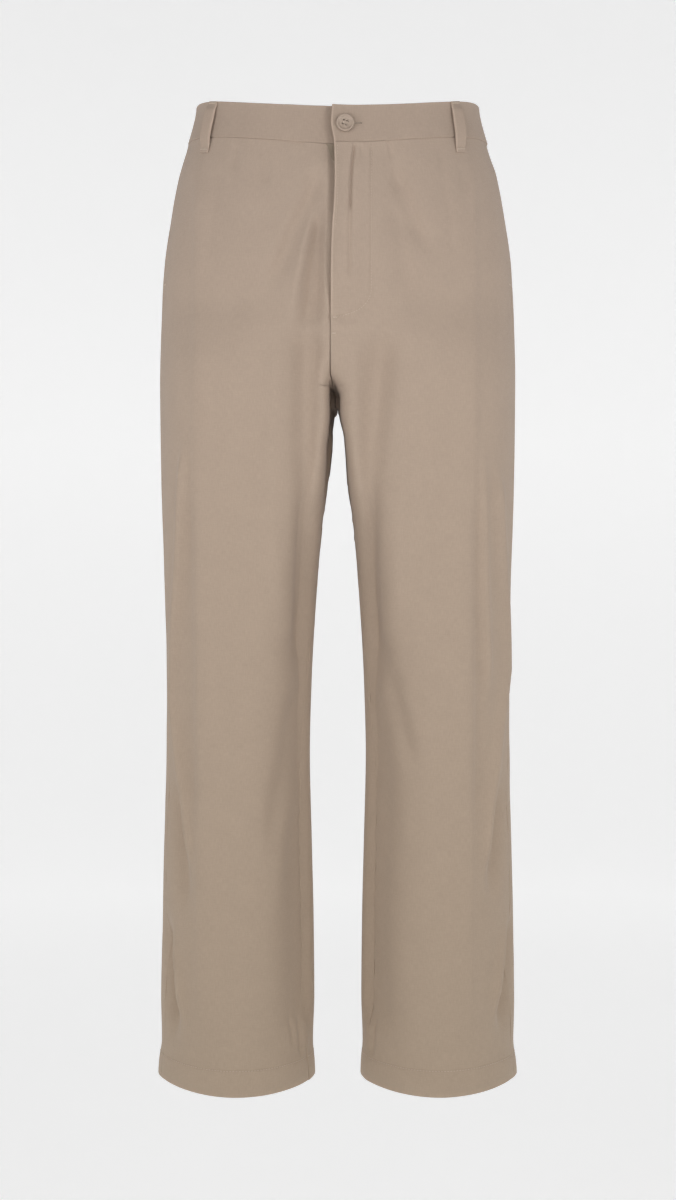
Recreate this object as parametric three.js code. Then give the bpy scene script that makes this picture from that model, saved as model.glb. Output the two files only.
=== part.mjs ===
// Painter pants, filled out as if worn, with the waist and both hems open.
// Millimetres. +Z is up, the front faces -Y and +X is the wearer's left. The origin lies in
// the middle of the waist opening, level with mid-waistband at the side seams.
import * as THREE from "three";

// ---------------------------------------------------------------- driving sizes
const CLOTH = 1.2;              // one layer of cotton twill
const BAND_WALL = 2.4;          // two layers and the interfacing of the waistband
const HEM_WALL = 2.6;           // panel plus its turned-up hem
const HALF_SEAM = 0.15;         // each piece stops this far short of its seam line
const SEAT_GAP = 0.3;           // clearance between a piece and what carries it

const BAND_TOP = 20;
const WAIST_SEAM = -20;
const FORK = -301;              // level where the four crotch seams meet
const HEM = -1012;
const HEM_DEPTH = 27;
const FLY_END = -212;

const FRONT_SPLIT_START = -190; // where the centre-front seam begins to sink between the legs
const BACK_SPLIT_START = -150;
const FORK_ARCH = 3;            // half width of the small arch where the inseams part
const FORK_ARCH_RISE = 4;

// ---------------------------------------------------------------- form of the garment
// One row for each level down the side seam. halfWidth: centre line to the side. gap: centre
// line to the inseam. front, back: depth each way. outer, inner: squareness of the section on
// the side-seam half and on the inseam half (2 is an ellipse).
const FORM_ROWS = [
  { z: 20, halfWidth: 151.2, gap: 0.15, front: 106, back: 108, outer: 2.4, inner: 2.4 },
  { z: -20, halfWidth: 159.6, gap: 0.15, front: 108, back: 114, outer: 2.4, inner: 2.4 },
  { z: -55, halfWidth: 170.4, gap: 0.15, front: 111, back: 122, outer: 2.4, inner: 2.4 },
  { z: -100, halfWidth: 178.8, gap: 0.15, front: 114, back: 131, outer: 2.4, inner: 2.4 },
  { z: -150, halfWidth: 185.6, gap: 0.15, front: 115, back: 136, outer: 2.4, inner: 2.4 },
  { z: -210, halfWidth: 188.6, gap: 0.15, front: 113, back: 135, outer: 2.35, inner: 2.5 },
  { z: -260, halfWidth: 189.6, gap: 0.15, front: 110, back: 129, outer: 2.35, inner: 2.9 },
  { z: -301, halfWidth: 189.6, gap: 0.15, front: 107, back: 122, outer: 2.3, inner: 3.3 },
  { z: -333, halfWidth: 189.2, gap: 4, front: 105, back: 117, outer: 2.3, inner: 3 },
  { z: -378, halfWidth: 188.6, gap: 10.2, front: 101, back: 110, outer: 2.25, inner: 2.6 },
  { z: -425, halfWidth: 187.6, gap: 16.6, front: 97, back: 103, outer: 2.2, inner: 2.3 },
  { z: -505, halfWidth: 185.4, gap: 23.2, front: 90, back: 94, outer: 2.1, inner: 2.15 },
  { z: -590, halfWidth: 183.6, gap: 28, front: 84, back: 87, outer: 2, inner: 2.05 },
  { z: -670, halfWidth: 184, gap: 30, front: 81, back: 84, outer: 1.95, inner: 2 },
  { z: -760, halfWidth: 186.4, gap: 28, front: 80, back: 83, outer: 1.9, inner: 1.95 },
  { z: -850, halfWidth: 188.6, gap: 25.9, front: 80, back: 83, outer: 1.85, inner: 1.9 },
  { z: -930, halfWidth: 189.8, gap: 25.2, front: 80, back: 83, outer: 1.85, inner: 1.85 },
  { z: -976, halfWidth: 188.8, gap: 26.6, front: 79.5, back: 82, outer: 1.85, inner: 1.85 },
  { z: -1000, halfWidth: 191.4, gap: 25, front: 81, back: 84, outer: 1.85, inner: 1.85 },
  { z: -1012, halfWidth: 192, gap: 24.6, front: 81.5, back: 84.5, outer: 1.85, inner: 1.85 },
];

// How far level lines dip at the centre front (and rise at the centre back), and the power
// that says how the dip spreads towards the side seam.
const DIP_ROWS = [
  { z: 20, frontDip: 20.6, backRise: 14, spread: 2.4 },
  { z: -20, frontDip: 20, backRise: 13, spread: 1.6 },
  { z: -150, frontDip: 9, backRise: 7, spread: 2 },
  { z: -290, frontDip: 0, backRise: 0, spread: 2 },
];
const HEM_DROOP = { start: -900, front: 6.8, back: 3, inward: 9 };

// Sideways run of the centre-front edge: the lapped fly stands a little to the wearer's right.
const CENTRE_ROWS = [
  { z: 20, shift: -8.5 },
  { z: -20, shift: -5 },
  { z: -60, shift: -3.6 },
  { z: -150, shift: -6.5 },
  { z: -270, shift: -7.5 },
  { z: -284, shift: -2 },
  { z: -330, shift: 0 },
];
const CENTRE_SPREAD = 55;

// Where the side seam and the inseam run: distance in front of the widest line of the leg.
const SEAM_ROWS = [
  { z: -20, side: 27, inseam: 0 },
  { z: -300, side: 34, inseam: 0 },
  { z: -500, side: 28, inseam: 18 },
  { z: -750, side: 24, inseam: 26 },
  { z: -1012, side: 24, inseam: 27 },
];

// Largest folds. Each runs through points [x, z] seen from the front (or through the cloth,
// from the front, for the back panels). height above the form (a trough is negative), width.
const FRONT_FOLDS = [
  {
    run: [[-22, -112], [-28, -172], [-39, -238], [-42, -351], [-41, -408], [-38, -470]],
    height: -4.5,
    width: 12,
  },
  { run: [[-38, -76], [-54, -115], [-70, -175]], height: -2.2, width: 11 },
  { run: [[-15, -262], [-17, -330], [-22, -400]], height: 2.6, width: 9 },
  { run: [[-167, -385], [-172, -510], [-168, -640], [-158, -760]], height: 2.2, width: 10 },
  { run: [[-170, -850], [-157, -945]], height: 1.8, width: 9 },
  { run: [[52, -46], [64, -95], [79, -141], [86, -170]], height: -2.6, width: 10 },
  { run: [[48, -238], [44, -290], [38, -351], [34, -407], [32, -484], [33, -561]], height: -3.8, width: 13 },
  { run: [[17, -270], [17, -330], [20, -395]], height: 2.6, width: 9 },
  { run: [[163, -370], [168, -480], [174, -590], [164, -670], [160, -790]], height: 2.2, width: 10 },
  { run: [[172, -840], [164, -890], [158, -940]], height: 1.8, width: 9 },
];
const BACK_FOLDS = [
  { run: [[-30, -190], [-62, -240], [-120, -275]], height: -3.6, width: 13 },
  { run: [[-26, -270], [-60, -330], [-92, -420]], height: -4.2, width: 14 },
  { run: [[-112, -330], [-118, -450], [-108, -560]], height: -2.6, width: 13 },
  { run: [[-62, -560], [-104, -610], [-150, -625]], height: -3.4, width: 12 },
  { run: [[-78, -700], [-98, -820], [-92, -930]], height: -2.2, width: 13 },
  { run: [[28, -200], [70, -246], [128, -268]], height: -3.4, width: 13 },
  { run: [[24, -262], [54, -336], [84, -440]], height: -4.4, width: 14 },
  { run: [[118, -340], [114, -470], [122, -570]], height: -2.4, width: 13 },
  { run: [[58, -585], [98, -622], [146, -650]], height: -3.2, width: 12 },
  { run: [[96, -720], [84, -830], [98, -940]], height: -2.4, width: 13 },
];
const FOLD_FADE = 45;           // length over which a fold dies away at its ends
const FOLD_ROOM = 14;

const FLY_RECESS = 1.2;         // the right front sinks this far beside the lapped fly edge
const FLY_RECESS_WIDTH = 12;

// ---------------------------------------------------------------- small functions
function clamp01(t) {
  return Math.min(1, Math.max(0, t));
}

function smooth(t) {
  const s = clamp01(t);
  return s * s * (3 - 2 * s);
}

function signedPower(value, power) {
  return Math.sign(value) * Math.abs(value) ** power;
}

// Smooth curve through a column of a table whose rows run down in z.
function column(rows, name, z) {
  const last = rows.length - 1;
  if (z >= rows[0].z) return rows[0][name];
  if (z <= rows[last].z) return rows[last][name];
  const i = rows.findIndex((row, k) => k < last && z <= row.z && z >= rows[k + 1].z);
  const slope = (k) => {
    if (k === 0 || k === last) return 0;
    const before = (rows[k][name] - rows[k - 1][name]) / (rows[k].z - rows[k - 1].z);
    const after = (rows[k + 1][name] - rows[k][name]) / (rows[k + 1].z - rows[k].z);
    return before * after <= 0 ? 0 : (2 * before * after) / (before + after);
  };
  const span = rows[i + 1].z - rows[i].z;
  const t = (z - rows[i].z) / span;
  const t2 = t * t;
  const t3 = t2 * t;
  return (2 * t3 - 3 * t2 + 1) * rows[i][name] + (t3 - 2 * t2 + t) * span * slope(i)
    + (3 * t2 - 2 * t3) * rows[i + 1][name] + (t3 - t2) * span * slope(i + 1);
}

// ---------------------------------------------------------------- rings of cloth
// A ring is one leg's section. Its angle runs 0 at the side, PI/2 at the front, PI at the
// inseam and -PI/2 at the back. Above the fork the ring is cut off at the centre line.
function splitAt(z, start) {
  return smooth((start - z) / (start - FORK));
}

function archAt(z) {
  return FORK_ARCH * smooth((FORK - z) / FORK_ARCH_RISE) * (1 - smooth((FORK - 30 - z) / 90));
}

const rings = new Map();

function ringAt(z) {
  if (!rings.has(z)) rings.set(z, makeRing(z));
  return rings.get(z);
}

function makeRing(z) {
  const row = (name) => column(FORM_ROWS, name, z);
  return {
    z,
    dip: column(DIP_ROWS, "frontDip", z),
    rise: column(DIP_ROWS, "backRise", z),
    spread: column(DIP_ROWS, "spread", z),
    centreShift: column(CENTRE_ROWS, "shift", z),
    droop: smooth((HEM_DROOP.start - z) / (HEM_DROOP.start - HEM)),
    halfWidth: row("halfWidth"),
    gap: row("gap"),
    front: row("front"),
    back: row("back"),
    outer: row("outer"),
    inner: row("inner"),
    frontSplit: splitAt(z, FRONT_SPLIT_START),
    backSplit: splitAt(z, BACK_SPLIT_START),
    arch: archAt(z),
  };
}

function ringPoint(ring, angle) {
  const onFront = Math.sin(angle) >= 0;
  const power = 2 / (Math.cos(angle) >= 0 ? ring.outer : ring.inner);
  const split = onFront ? ring.frontSplit : ring.backSplit;
  const radius = (ring.halfWidth - ring.gap) / (1 + split);
  const across = signedPower(Math.cos(angle), power);
  return {
    x: ring.gap + radius * (split + across) + ring.arch * ((1 - across) / 2) ** 4,
    y: -(onFront ? ring.front : ring.back) * signedPower(Math.sin(angle), power),
  };
}

function centreAngle(ring, split) {
  return Math.acos(-(split ** (ring.inner / 2)));
}

function seamAngle(ring, forward, onInseam) {
  const power = onInseam ? ring.inner : ring.outer;
  const angle = Math.asin((forward / ring.front) ** (power / 2));
  return onInseam ? Math.PI - angle : angle;
}

// First and last angle of a panel on a ring, side seam first.
function panelSpan(ring, face) {
  const side = seamAngle(ring, column(SEAM_ROWS, "side", ring.z), false);
  if (ring.z >= FORK) {
    const end = face === "front" ? centreAngle(ring, ring.frontSplit) : -centreAngle(ring, ring.backSplit);
    return [side, end];
  }
  const inseam = seamAngle(ring, column(SEAM_ROWS, "inseam", ring.z), true);
  return [side, face === "front" ? inseam : inseam - 2 * Math.PI];
}

// Angles that divide a stretch of a ring evenly along the cloth, leaving a strip of the given
// width free at each end.
const WALK_STEPS = 64;

function evenAngles(ring, start, end, count, freeStart, freeEnd) {
  const angles = [];
  const lengths = [0];
  for (let i = 0; i <= WALK_STEPS; i += 1) {
    angles.push(start + ((end - start) * i) / WALK_STEPS);
    if (i > 0) {
      const a = ringPoint(ring, angles[i - 1]);
      const b = ringPoint(ring, angles[i]);
      lengths.push(lengths[i - 1] + Math.hypot(b.x - a.x, b.y - a.y));
    }
  }
  const used = lengths[WALK_STEPS] - freeStart - freeEnd;
  return Array.from({ length: count + 1 }, (_, j) => {
    const target = freeStart + (used * j) / count;
    const k = Math.max(1, lengths.findIndex((length) => length >= target - 1e-9));
    const t = (target - lengths[k - 1]) / (lengths[k] - lengths[k - 1]);
    return angles[k - 1] + (angles[k] - angles[k - 1]) * t;
  });
}

// The inner columns of a panel lie between a line this far from the inseam and the edge.
const INNER_STRIP = 20;
const PANEL_COLUMNS = {
  front: { main: 10, inner: 4 },
  back: { main: 11, inner: 4 },
};

function panelAngles(ring, face) {
  const [start, end] = panelSpan(ring, face);
  const split = face === "front" ? ring.frontSplit : ring.backSplit;
  const across = (INNER_STRIP * (1 + split)) / (ring.halfWidth - ring.gap) - split;
  const power = (across >= 0 ? ring.outer : ring.inner) / 2;
  const turn = Math.acos(signedPower(across, power));
  const middle = face === "front" ? turn : -turn;
  const { main, inner } = PANEL_COLUMNS[face];
  const freeEnd = HALF_SEAM * smooth((FORK + 64 - ring.z) / 50);
  return [
    ...evenAngles(ring, start, middle, main, HALF_SEAM, 0).slice(0, -1),
    ...evenAngles(ring, middle, end, inner, 0, freeEnd),
  ];
}

// ---------------------------------------------------------------- placing cloth in space
function levelShift(ring, x, y) {
  const across = clamp01(Math.abs(x) / ring.halfWidth);
  const waistShift = (y < 0 ? -ring.dip : ring.rise) * (1 - across ** ring.spread);
  const legRadius = (ring.halfWidth - ring.gap) / 2;
  const lowest = ring.gap + legRadius - HEM_DROOP.inward;
  const fromMiddle = clamp01(Math.abs(Math.abs(x) - lowest) / legRadius);
  return waistShift - ring.droop * (1 - fromMiddle ** 2) * (y < 0 ? HEM_DROOP.front : HEM_DROOP.back);
}

// half is +1 for the wearer's left and -1 for the right.
function formPoint(half, ring, angle) {
  const { x, y } = ringPoint(ring, angle);
  const sideways = half * x;
  const shift = y < 0 ? ring.centreShift * Math.exp(-((sideways / CENTRE_SPREAD) ** 2)) : 0;
  return new THREE.Vector3(sideways + shift, y, ring.z + levelShift(ring, sideways, y));
}

const STEP_ANGLE = 0.012;
const STEP_LEVEL = 0.5;

function formNormal(half, ring, angle) {
  const across = formPoint(half, ring, angle + STEP_ANGLE).sub(formPoint(half, ring, angle - STEP_ANGLE));
  const down = formPoint(half, ringAt(ring.z - STEP_LEVEL), angle)
    .sub(formPoint(half, ringAt(ring.z + STEP_LEVEL), angle));
  return across.cross(down).multiplyScalar(half).normalize();
}

function distanceToRun(run, x, z) {
  let best = { distance: Infinity, along: 0 };
  let travelled = 0;
  for (let i = 1; i < run.length; i += 1) {
    const [x0, z0] = run[i - 1];
    const [dx, dz] = [run[i][0] - x0, run[i][1] - z0];
    const length = Math.hypot(dx, dz);
    const t = clamp01(((x - x0) * dx + (z - z0) * dz) / length ** 2);
    const distance = Math.hypot(x - x0 - t * dx, z - z0 - t * dz);
    if (distance < best.distance) best = { distance, along: travelled + t * length };
    travelled += length;
  }
  return { ...best, length: travelled };
}

function foldHeight(folds, x, z) {
  return folds.reduce((sum, fold) => {
    const near = distanceToRun(fold.run, x, z);
    const end = Math.min(near.along, near.length - near.along);
    return sum + fold.height * Math.exp(-((near.distance / fold.width) ** 2)) * smooth(0.25 + end / FOLD_FADE);
  }, 0);
}

// Folds die away at the centre seams and at the inside of the leg.
function foldRoom(ring, x) {
  return smooth((Math.abs(x - ring.centreShift) - ring.gap) / FOLD_ROOM);
}

function flyRecess(half, x, z) {
  if (half > 0) return 0;
  const fromEdge = ringAt(z).centreShift - x;
  return FLY_RECESS * smooth(1.3 - fromEdge / FLY_RECESS_WIDTH) * smooth((z - FLY_END) / FLY_RECESS_WIDTH + 1);
}

// A spot of the outer cloth face and the direction out of it.
function clothSpot(half, z, angle) {
  const ring = ringAt(z);
  const point = formPoint(half, ring, angle);
  const normal = formNormal(half, ring, angle);
  const onFront = point.y < 0;
  const folds = onFront ? FRONT_FOLDS : BACK_FOLDS;
  const raised = foldHeight(folds, point.x, point.z) * foldRoom(ring, point.x)
    - (onFront ? flyRecess(half, point.x, z) : 0);
  return { point: point.addScaledVector(normal, raised), normal };
}

// The spot moved out by lift (in, where lift is negative).
function lifted(spot, lift) {
  return spot.point.clone().addScaledVector(spot.normal, lift);
}

// ---------------------------------------------------------------- closed walls from grids
// outer and inner are grids of points of one size: a wall with its rim closed all round.
function wallGeometry(outer, inner) {
  const rows = outer.length;
  const columns = outer[0].length;
  const layer = rows * columns;
  const at = (i, j, side) => side * layer + i * columns + j;
  const faces = [];
  const quad = (a, b, c, d) => faces.push(a, b, c, a, c, d);
  for (let i = 0; i < rows - 1; i += 1) {
    for (let j = 0; j < columns - 1; j += 1) {
      quad(at(i, j, 0), at(i + 1, j, 0), at(i + 1, j + 1, 0), at(i, j + 1, 0));
      quad(at(i, j, 1), at(i, j + 1, 1), at(i + 1, j + 1, 1), at(i + 1, j, 1));
    }
  }
  const [right, bottom] = [columns - 1, rows - 1];
  for (let i = 0; i < bottom; i += 1) {
    quad(at(i, 0, 0), at(i, 0, 1), at(i + 1, 0, 1), at(i + 1, 0, 0));
    quad(at(i, right, 0), at(i + 1, right, 0), at(i + 1, right, 1), at(i, right, 1));
  }
  for (let j = 0; j < right; j += 1) {
    quad(at(0, j, 0), at(0, j + 1, 0), at(0, j + 1, 1), at(0, j, 1));
    quad(at(bottom, j, 0), at(bottom, j, 1), at(bottom, j + 1, 1), at(bottom, j + 1, 0));
  }
  return closedGeometry([...outer.flat(), ...inner.flat()], faces);
}

// Faces are turned to point outwards, judged by the signed volume.
function closedGeometry(points, faces) {
  let volume = 0;
  for (let i = 0; i < faces.length; i += 3) {
    const [a, b, c] = [points[faces[i]], points[faces[i + 1]], points[faces[i + 2]]];
    volume += a.dot(b.clone().cross(c)) / 6;
  }
  const ordered = volume > 0 ? faces : faces.slice().reverse();
  const geometry = new THREE.BufferGeometry();
  geometry.setAttribute("position", new THREE.Float32BufferAttribute(points.flatMap((p) => p.toArray()), 3));
  geometry.setIndex(ordered);
  geometry.computeVertexNormals();
  return geometry;
}

// A wall between two lifts of one grid of spots. Each lift is a number or a function of row
// and column.
function liftedWall(spots, outerLift, innerLift) {
  const layer = (lift) => spots.map((row, i) => row.map((spot, j) => (
    lifted(spot, typeof lift === "function" ? lift(i, j) : lift)
  )));
  return wallGeometry(layer(outerLift), layer(innerLift));
}

// ---------------------------------------------------------------- materials and nodes
function finish(color, roughness) {
  return new THREE.MeshStandardMaterial({ color, roughness, metalness: 0 });
}

const TWILL = [0xab9b87, 0.92];
const TWILL_BAND = [0xa29280, 0.92];
const POCKETING = [0xd3c9ba, 0.95];
const BUTTON_RESIN = [0xa08f7d, 0.45];
const ZIP_TAPE = [0x9c8c7a, 0.8];

const group = new THREE.Group();

function addPiece(name, geometry, [color, roughness]) {
  const mesh = new THREE.Mesh(geometry, finish(color, roughness));
  mesh.name = name;
  group.add(mesh);
  return mesh;
}

// ---------------------------------------------------------------- leg panels
// Levels of the panel rows: stretches from one level down to the next, in equal steps.
const PANEL_STRETCHES = [
  { from: WAIST_SEAM - HALF_SEAM, to: -190, steps: 9 },
  { from: -190, to: -265, steps: 4 },
  { from: -265, to: -292, steps: 3 },
  { from: -292, to: FORK, steps: 2 },
  { from: FORK, to: FORK - FORK_ARCH_RISE, steps: 1 },
  { from: FORK - FORK_ARCH_RISE, to: -345, steps: 2 },
  { from: -345, to: HEM + HEM_DEPTH + 2, steps: 18 },
  { from: HEM + HEM_DEPTH + 2, to: HEM + HEM_DEPTH, steps: 1 },
  { from: HEM + HEM_DEPTH, to: HEM, steps: 2 },
];
const FLY_WIDTH = 36;           // the left front is doubled this far in from its lapped edge

function levelsOf(stretches) {
  return stretches.flatMap(({ from, to, steps }, k) => Array.from(
    { length: steps + (k === stretches.length - 1 ? 1 : 0) },
    (_, i) => from + ((to - from) * i) / steps,
  ));
}

const panelLevels = levelsOf(PANEL_STRETCHES);
const flyRows = panelLevels.filter((z) => z > FLY_END).length;

// Spots of a panel, row by row from the waist seam down, side seam first.
function panelSpots(half, face) {
  return panelLevels.map((z) => {
    const ring = ringAt(z);
    return panelAngles(ring, face).map((angle) => clothSpot(half, z, angle));
  });
}

function legPanel(spots, hasFlyFacing) {
  const wallAt = (i, j) => {
    if (panelLevels[i] <= HEM + HEM_DEPTH + 0.01) return HEM_WALL;
    const doubled = hasFlyFacing && i < flyRows && spots[i][j].point.x < FLY_WIDTH;
    return doubled ? 2 * CLOTH : CLOTH;
  };
  return liftedWall(spots, 0, (i, j) => -wallAt(i, j));
}

const fronts = { right: panelSpots(-1, "front"), left: panelSpots(1, "front") };
const backs = { right: panelSpots(-1, "back"), left: panelSpots(1, "back") };

for (const side of ["right", "left"]) {
  addPiece(`front_${side}`, legPanel(fronts[side], side === "left"), TWILL);
  addPiece(`back_${side}`, legPanel(backs[side], false), TWILL);
}

// ---------------------------------------------------------------- fly underlap and zip
// A spot of a front panel, measured in from its centre-front edge along one row.
function spotFromCentre(spots, i, distance) {
  const row = spots[i].slice().reverse();
  let left = distance;
  let j = 0;
  while (left > row[j].point.distanceTo(row[j + 1].point)) {
    left -= row[j].point.distanceTo(row[j + 1].point);
    j += 1;
  }
  const [a, b] = [row[j], row[j + 1]];
  const t = left / a.point.distanceTo(b.point);
  return { point: a.point.clone().lerp(b.point, t), normal: a.normal.clone().lerp(b.normal, t).normalize() };
}

// A strip behind the fly: from reachRight on the right front to the given spots on the left.
function flyStrip(reachRight, reachesLeft, depth, wall, rowCount) {
  const spots = Array.from({ length: rowCount }, (_, i) => [
    spotFromCentre(fronts.right, i, reachRight),
    ...reachesLeft.map((reach) => spotFromCentre(fronts.left, i, reach)),
  ]);
  const lift = (extra) => (i, j) => -depth - extra + (j === 0 ? FLY_RECESS : 0);
  return liftedWall(spots, lift(0), lift(wall));
}

const ZIP_DEPTH = 2 * CLOTH + SEAT_GAP;
const ZIP_WALL = 1;
const SHIELD_DEPTH = ZIP_DEPTH + ZIP_WALL + SEAT_GAP;
const SHIELD_WALL = 1.6;

addPiece("fly_zip", flyStrip(7, [1, 13], ZIP_DEPTH, ZIP_WALL, flyRows), ZIP_TAPE);
addPiece("fly_shield", flyStrip(9, [1, 20, 38], SHIELD_DEPTH, SHIELD_WALL, flyRows), TWILL);

// ---------------------------------------------------------------- side pockets
// Each bag lies inside its front, sewn in along the waist seam and the side seam.
const POCKET_WALL = 1.6;
const POCKET_COLUMNS = 8;
const POCKET_BOTTOM = -272;

const pocketRows = panelLevels.filter((z) => z > POCKET_BOTTOM).length;

for (const side of ["right", "left"]) {
  const spots = fronts[side].slice(0, pocketRows).map((row) => row.slice(0, POCKET_COLUMNS));
  const depth = CLOTH + SEAT_GAP;
  addPiece(`pocket_${side}`, liftedWall(spots, -depth, -depth - POCKET_WALL), POCKETING);
}

// ---------------------------------------------------------------- waistband
// The turn runs from the lapped end at the centre front round the wearer's left, the back
// and the right, and on under the lapped end. A full turn is 2 PI.
const LAP_LENGTH = 42;
const LAP_RAMP = 20;            // the band dives under its lapped end over this distance
const LAP_RAMP_STOP = 0.06;     // turn left before the lapped edge when it is fully under
const BAND_PROUD = 0.4;         // the band stands this far out from the panels
const BAND_COLUMNS = 72;
const BAND_STEPS = 2;

function bandSpot(turn, z) {
  const half = Math.sin(turn) >= 0 ? 1 : -1;
  const angle = Math.PI / 2 - half * Math.atan2(Math.sin(turn), Math.cos(turn));
  return clothSpot(half, z, angle);
}

function turnAt(x, onBack) {
  const ring = ringAt(0);
  const turn = Math.sign(x) * Math.asin((Math.abs(x) / ring.halfWidth) ** (ring.outer / 2));
  return onBack ? Math.PI - turn : turn;
}

function waistband() {
  const lapEnd = 2 * Math.PI + turnAt(LAP_LENGTH);
  const rampStart = 2 * Math.PI + turnAt(-LAP_RAMP);
  const turns = Array.from({ length: BAND_COLUMNS + 1 }, (_, j) => (lapEnd * j) / BAND_COLUMNS);
  const levels = levelsOf([{ from: BAND_TOP, to: WAIST_SEAM + HALF_SEAM, steps: BAND_STEPS }]);
  const spots = levels.map((z) => turns.map((turn) => bandSpot(turn, z)));
  const rampEnd = 2 * Math.PI - LAP_RAMP_STOP;
  const under = (turn) => (BAND_WALL + SEAT_GAP) * smooth((turn - rampStart) / (rampEnd - rampStart));
  const lift = (extra) => (i, j) => BAND_PROUD - under(turns[j]) - extra;
  return liftedWall(spots, lift(0), lift(BAND_WALL));
}

addPiece("waistband", waistband(), TWILL_BAND);

// ---------------------------------------------------------------- belt loops
// Sewn flat at both ends and standing off between them. Each row of the profile is a level
// and how far the loop's inner face lies off the form there.
const LOOP_WIDTH = 12;
const LOOP_WALL = 1.6;
const LOOP_PROFILE = [
  { z: 19.6, off: 0.8 },
  { z: 16, off: 1.6 },
  { z: 11, off: 5.4 },
  { z: 3, off: 6.8 },
  { z: -8, off: 7 },
  { z: -19, off: 6.2 },
  { z: -26, off: 4.2 },
  { z: -30, off: 1 },
  { z: -36, off: 0.3 },
];
const LOOPS = [
  { name: "loop_front_right", x: -130, onBack: false, lean: 0.02 },
  { name: "loop_front_left", x: 121, onBack: false, lean: -0.05 },
  { name: "loop_back_right", x: -88, onBack: true, lean: 0 },
  { name: "loop_back_left", x: 88, onBack: true, lean: 0 },
  { name: "loop_back_centre", x: 0, onBack: true, lean: 0 },
];

function beltLoop({ x, onBack, lean }) {
  const turn = turnAt(x, onBack);
  const spots = LOOP_PROFILE.map(({ z }) => {
    const middle = bandSpot(turn + lean * ((BAND_TOP - z) / 56 - 0.5), z);
    const next = bandSpot(turn + 0.02, z).point.sub(bandSpot(turn - 0.02, z).point).normalize();
    return [-1, -0.33, 0.33, 1].map((edge) => ({
      point: middle.point.clone().addScaledVector(next, (edge * LOOP_WIDTH) / 2),
      normal: middle.normal,
    }));
  });
  const lift = (extra) => (i) => LOOP_PROFILE[i].off + extra;
  return liftedWall(spots, lift(LOOP_WALL), lift(0));
}

LOOPS.forEach((loop) => addPiece(loop.name, beltLoop(loop), TWILL));

// ---------------------------------------------------------------- button
// Radius and height of each corner of the turned button, from the middle of its back.
const BUTTON_X = 14;
const BUTTON_PROFILE = [
  [0, 0], [6.2, 0], [8.4, 0.7], [9.25, 1.9], [9, 2.9], [8.1, 3.3], [7.1, 3], [6.4, 2.2], [0, 2],
];
const BUTTON_SIDES = 32;

function button() {
  const profile = BUTTON_PROFILE.map(([radius, height]) => new THREE.Vector2(radius, height));
  const mesh = addPiece("button", new THREE.LatheGeometry(profile, BUTTON_SIDES), BUTTON_RESIN);
  const spot = bandSpot(turnAt(BUTTON_X), 0);
  mesh.quaternion.setFromUnitVectors(new THREE.Vector3(0, 1, 0), spot.normal);
  mesh.position.copy(lifted(spot, BAND_PROUD + SEAT_GAP));
}

button();

export default group;
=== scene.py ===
"""Painter pants in cotton twill, sewn piece by piece over the construction model.

The garment is filled out as if worn. +Z is up, the front faces -Y and +X is the wearer's
left. The cut is worked out in millimetres, and every mesh is made in metres.
"""

import math

import bpy
import numpy as np
from bpy.props import FloatProperty, FloatVectorProperty, PointerProperty
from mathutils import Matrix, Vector


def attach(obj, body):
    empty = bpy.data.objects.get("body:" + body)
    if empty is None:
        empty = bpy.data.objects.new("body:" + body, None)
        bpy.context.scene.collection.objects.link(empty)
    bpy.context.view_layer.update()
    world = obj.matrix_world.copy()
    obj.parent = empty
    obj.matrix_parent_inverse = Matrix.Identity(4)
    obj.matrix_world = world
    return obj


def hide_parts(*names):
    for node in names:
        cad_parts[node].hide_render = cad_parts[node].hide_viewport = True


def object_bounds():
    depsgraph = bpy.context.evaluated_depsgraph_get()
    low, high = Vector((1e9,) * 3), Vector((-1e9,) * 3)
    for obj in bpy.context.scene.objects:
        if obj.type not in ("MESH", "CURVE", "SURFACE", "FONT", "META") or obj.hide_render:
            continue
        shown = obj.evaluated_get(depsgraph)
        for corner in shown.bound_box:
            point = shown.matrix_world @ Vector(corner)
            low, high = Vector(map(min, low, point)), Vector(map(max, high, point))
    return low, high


bl_info = {
    "name": "Painter Pants",
    "version": (1, 0, 0),
    "blender": (4, 5, 0),
    "location": "3D View > Sidebar > Pants",
    "description": "Makes a pair of cotton twill painter pants, piece by piece",
    "category": "Mesh",
}

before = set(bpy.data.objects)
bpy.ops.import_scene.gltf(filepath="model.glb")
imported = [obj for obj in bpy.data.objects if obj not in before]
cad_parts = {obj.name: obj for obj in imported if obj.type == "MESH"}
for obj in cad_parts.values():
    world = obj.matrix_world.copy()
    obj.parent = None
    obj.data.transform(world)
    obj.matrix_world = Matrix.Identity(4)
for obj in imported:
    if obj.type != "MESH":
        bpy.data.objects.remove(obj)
CAD_LOW, CAD_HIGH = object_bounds()

MM = 0.001

# ------------------------------------------------------------------ the cut, in millimetres
BAND_TOP = 20
WAIST_SEAM = -20
FORK = -301                 # level where the four crotch seams meet
HEM = -1012
HEM_DEPTH = 24
FLY_END = -212
FRONT_SPLIT_START = -190    # where the centre-front seam begins to sink between the legs
FRONT_SPLIT_END = -286      # where it has sunk to the middle of the crotch
BACK_SPLIT_START = -150
FORK_ARCH = 3               # half width of the small arch where the inseams part
FORK_ARCH_TOP = -302.5
FORK_ARCH_RISE = 2
FORK_ARCH_FADE = {"right": 32, "left": 60}
WEDGE_FLOOR = 0.4           # share of the front's depth behind which the corners don't part
WEDGE_STEP = 0.06
CENTRE_SPREAD = 55
CENTRE_DEPTH = 50           # depth behind which the sideways run of the front dies out
STEP_ANGLE = 0.012          # steps over which the form's slope is measured
STEP_LEVEL = 0.5
GRAIN_OFFSET = 400          # keeps the two halves from repeating one another's weave
SEAM_GAP = 0.06             # each piece stops this far short of its seam line
SEAM_ROLL = 0.95            # radius with which cloth turns into a seam
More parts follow.
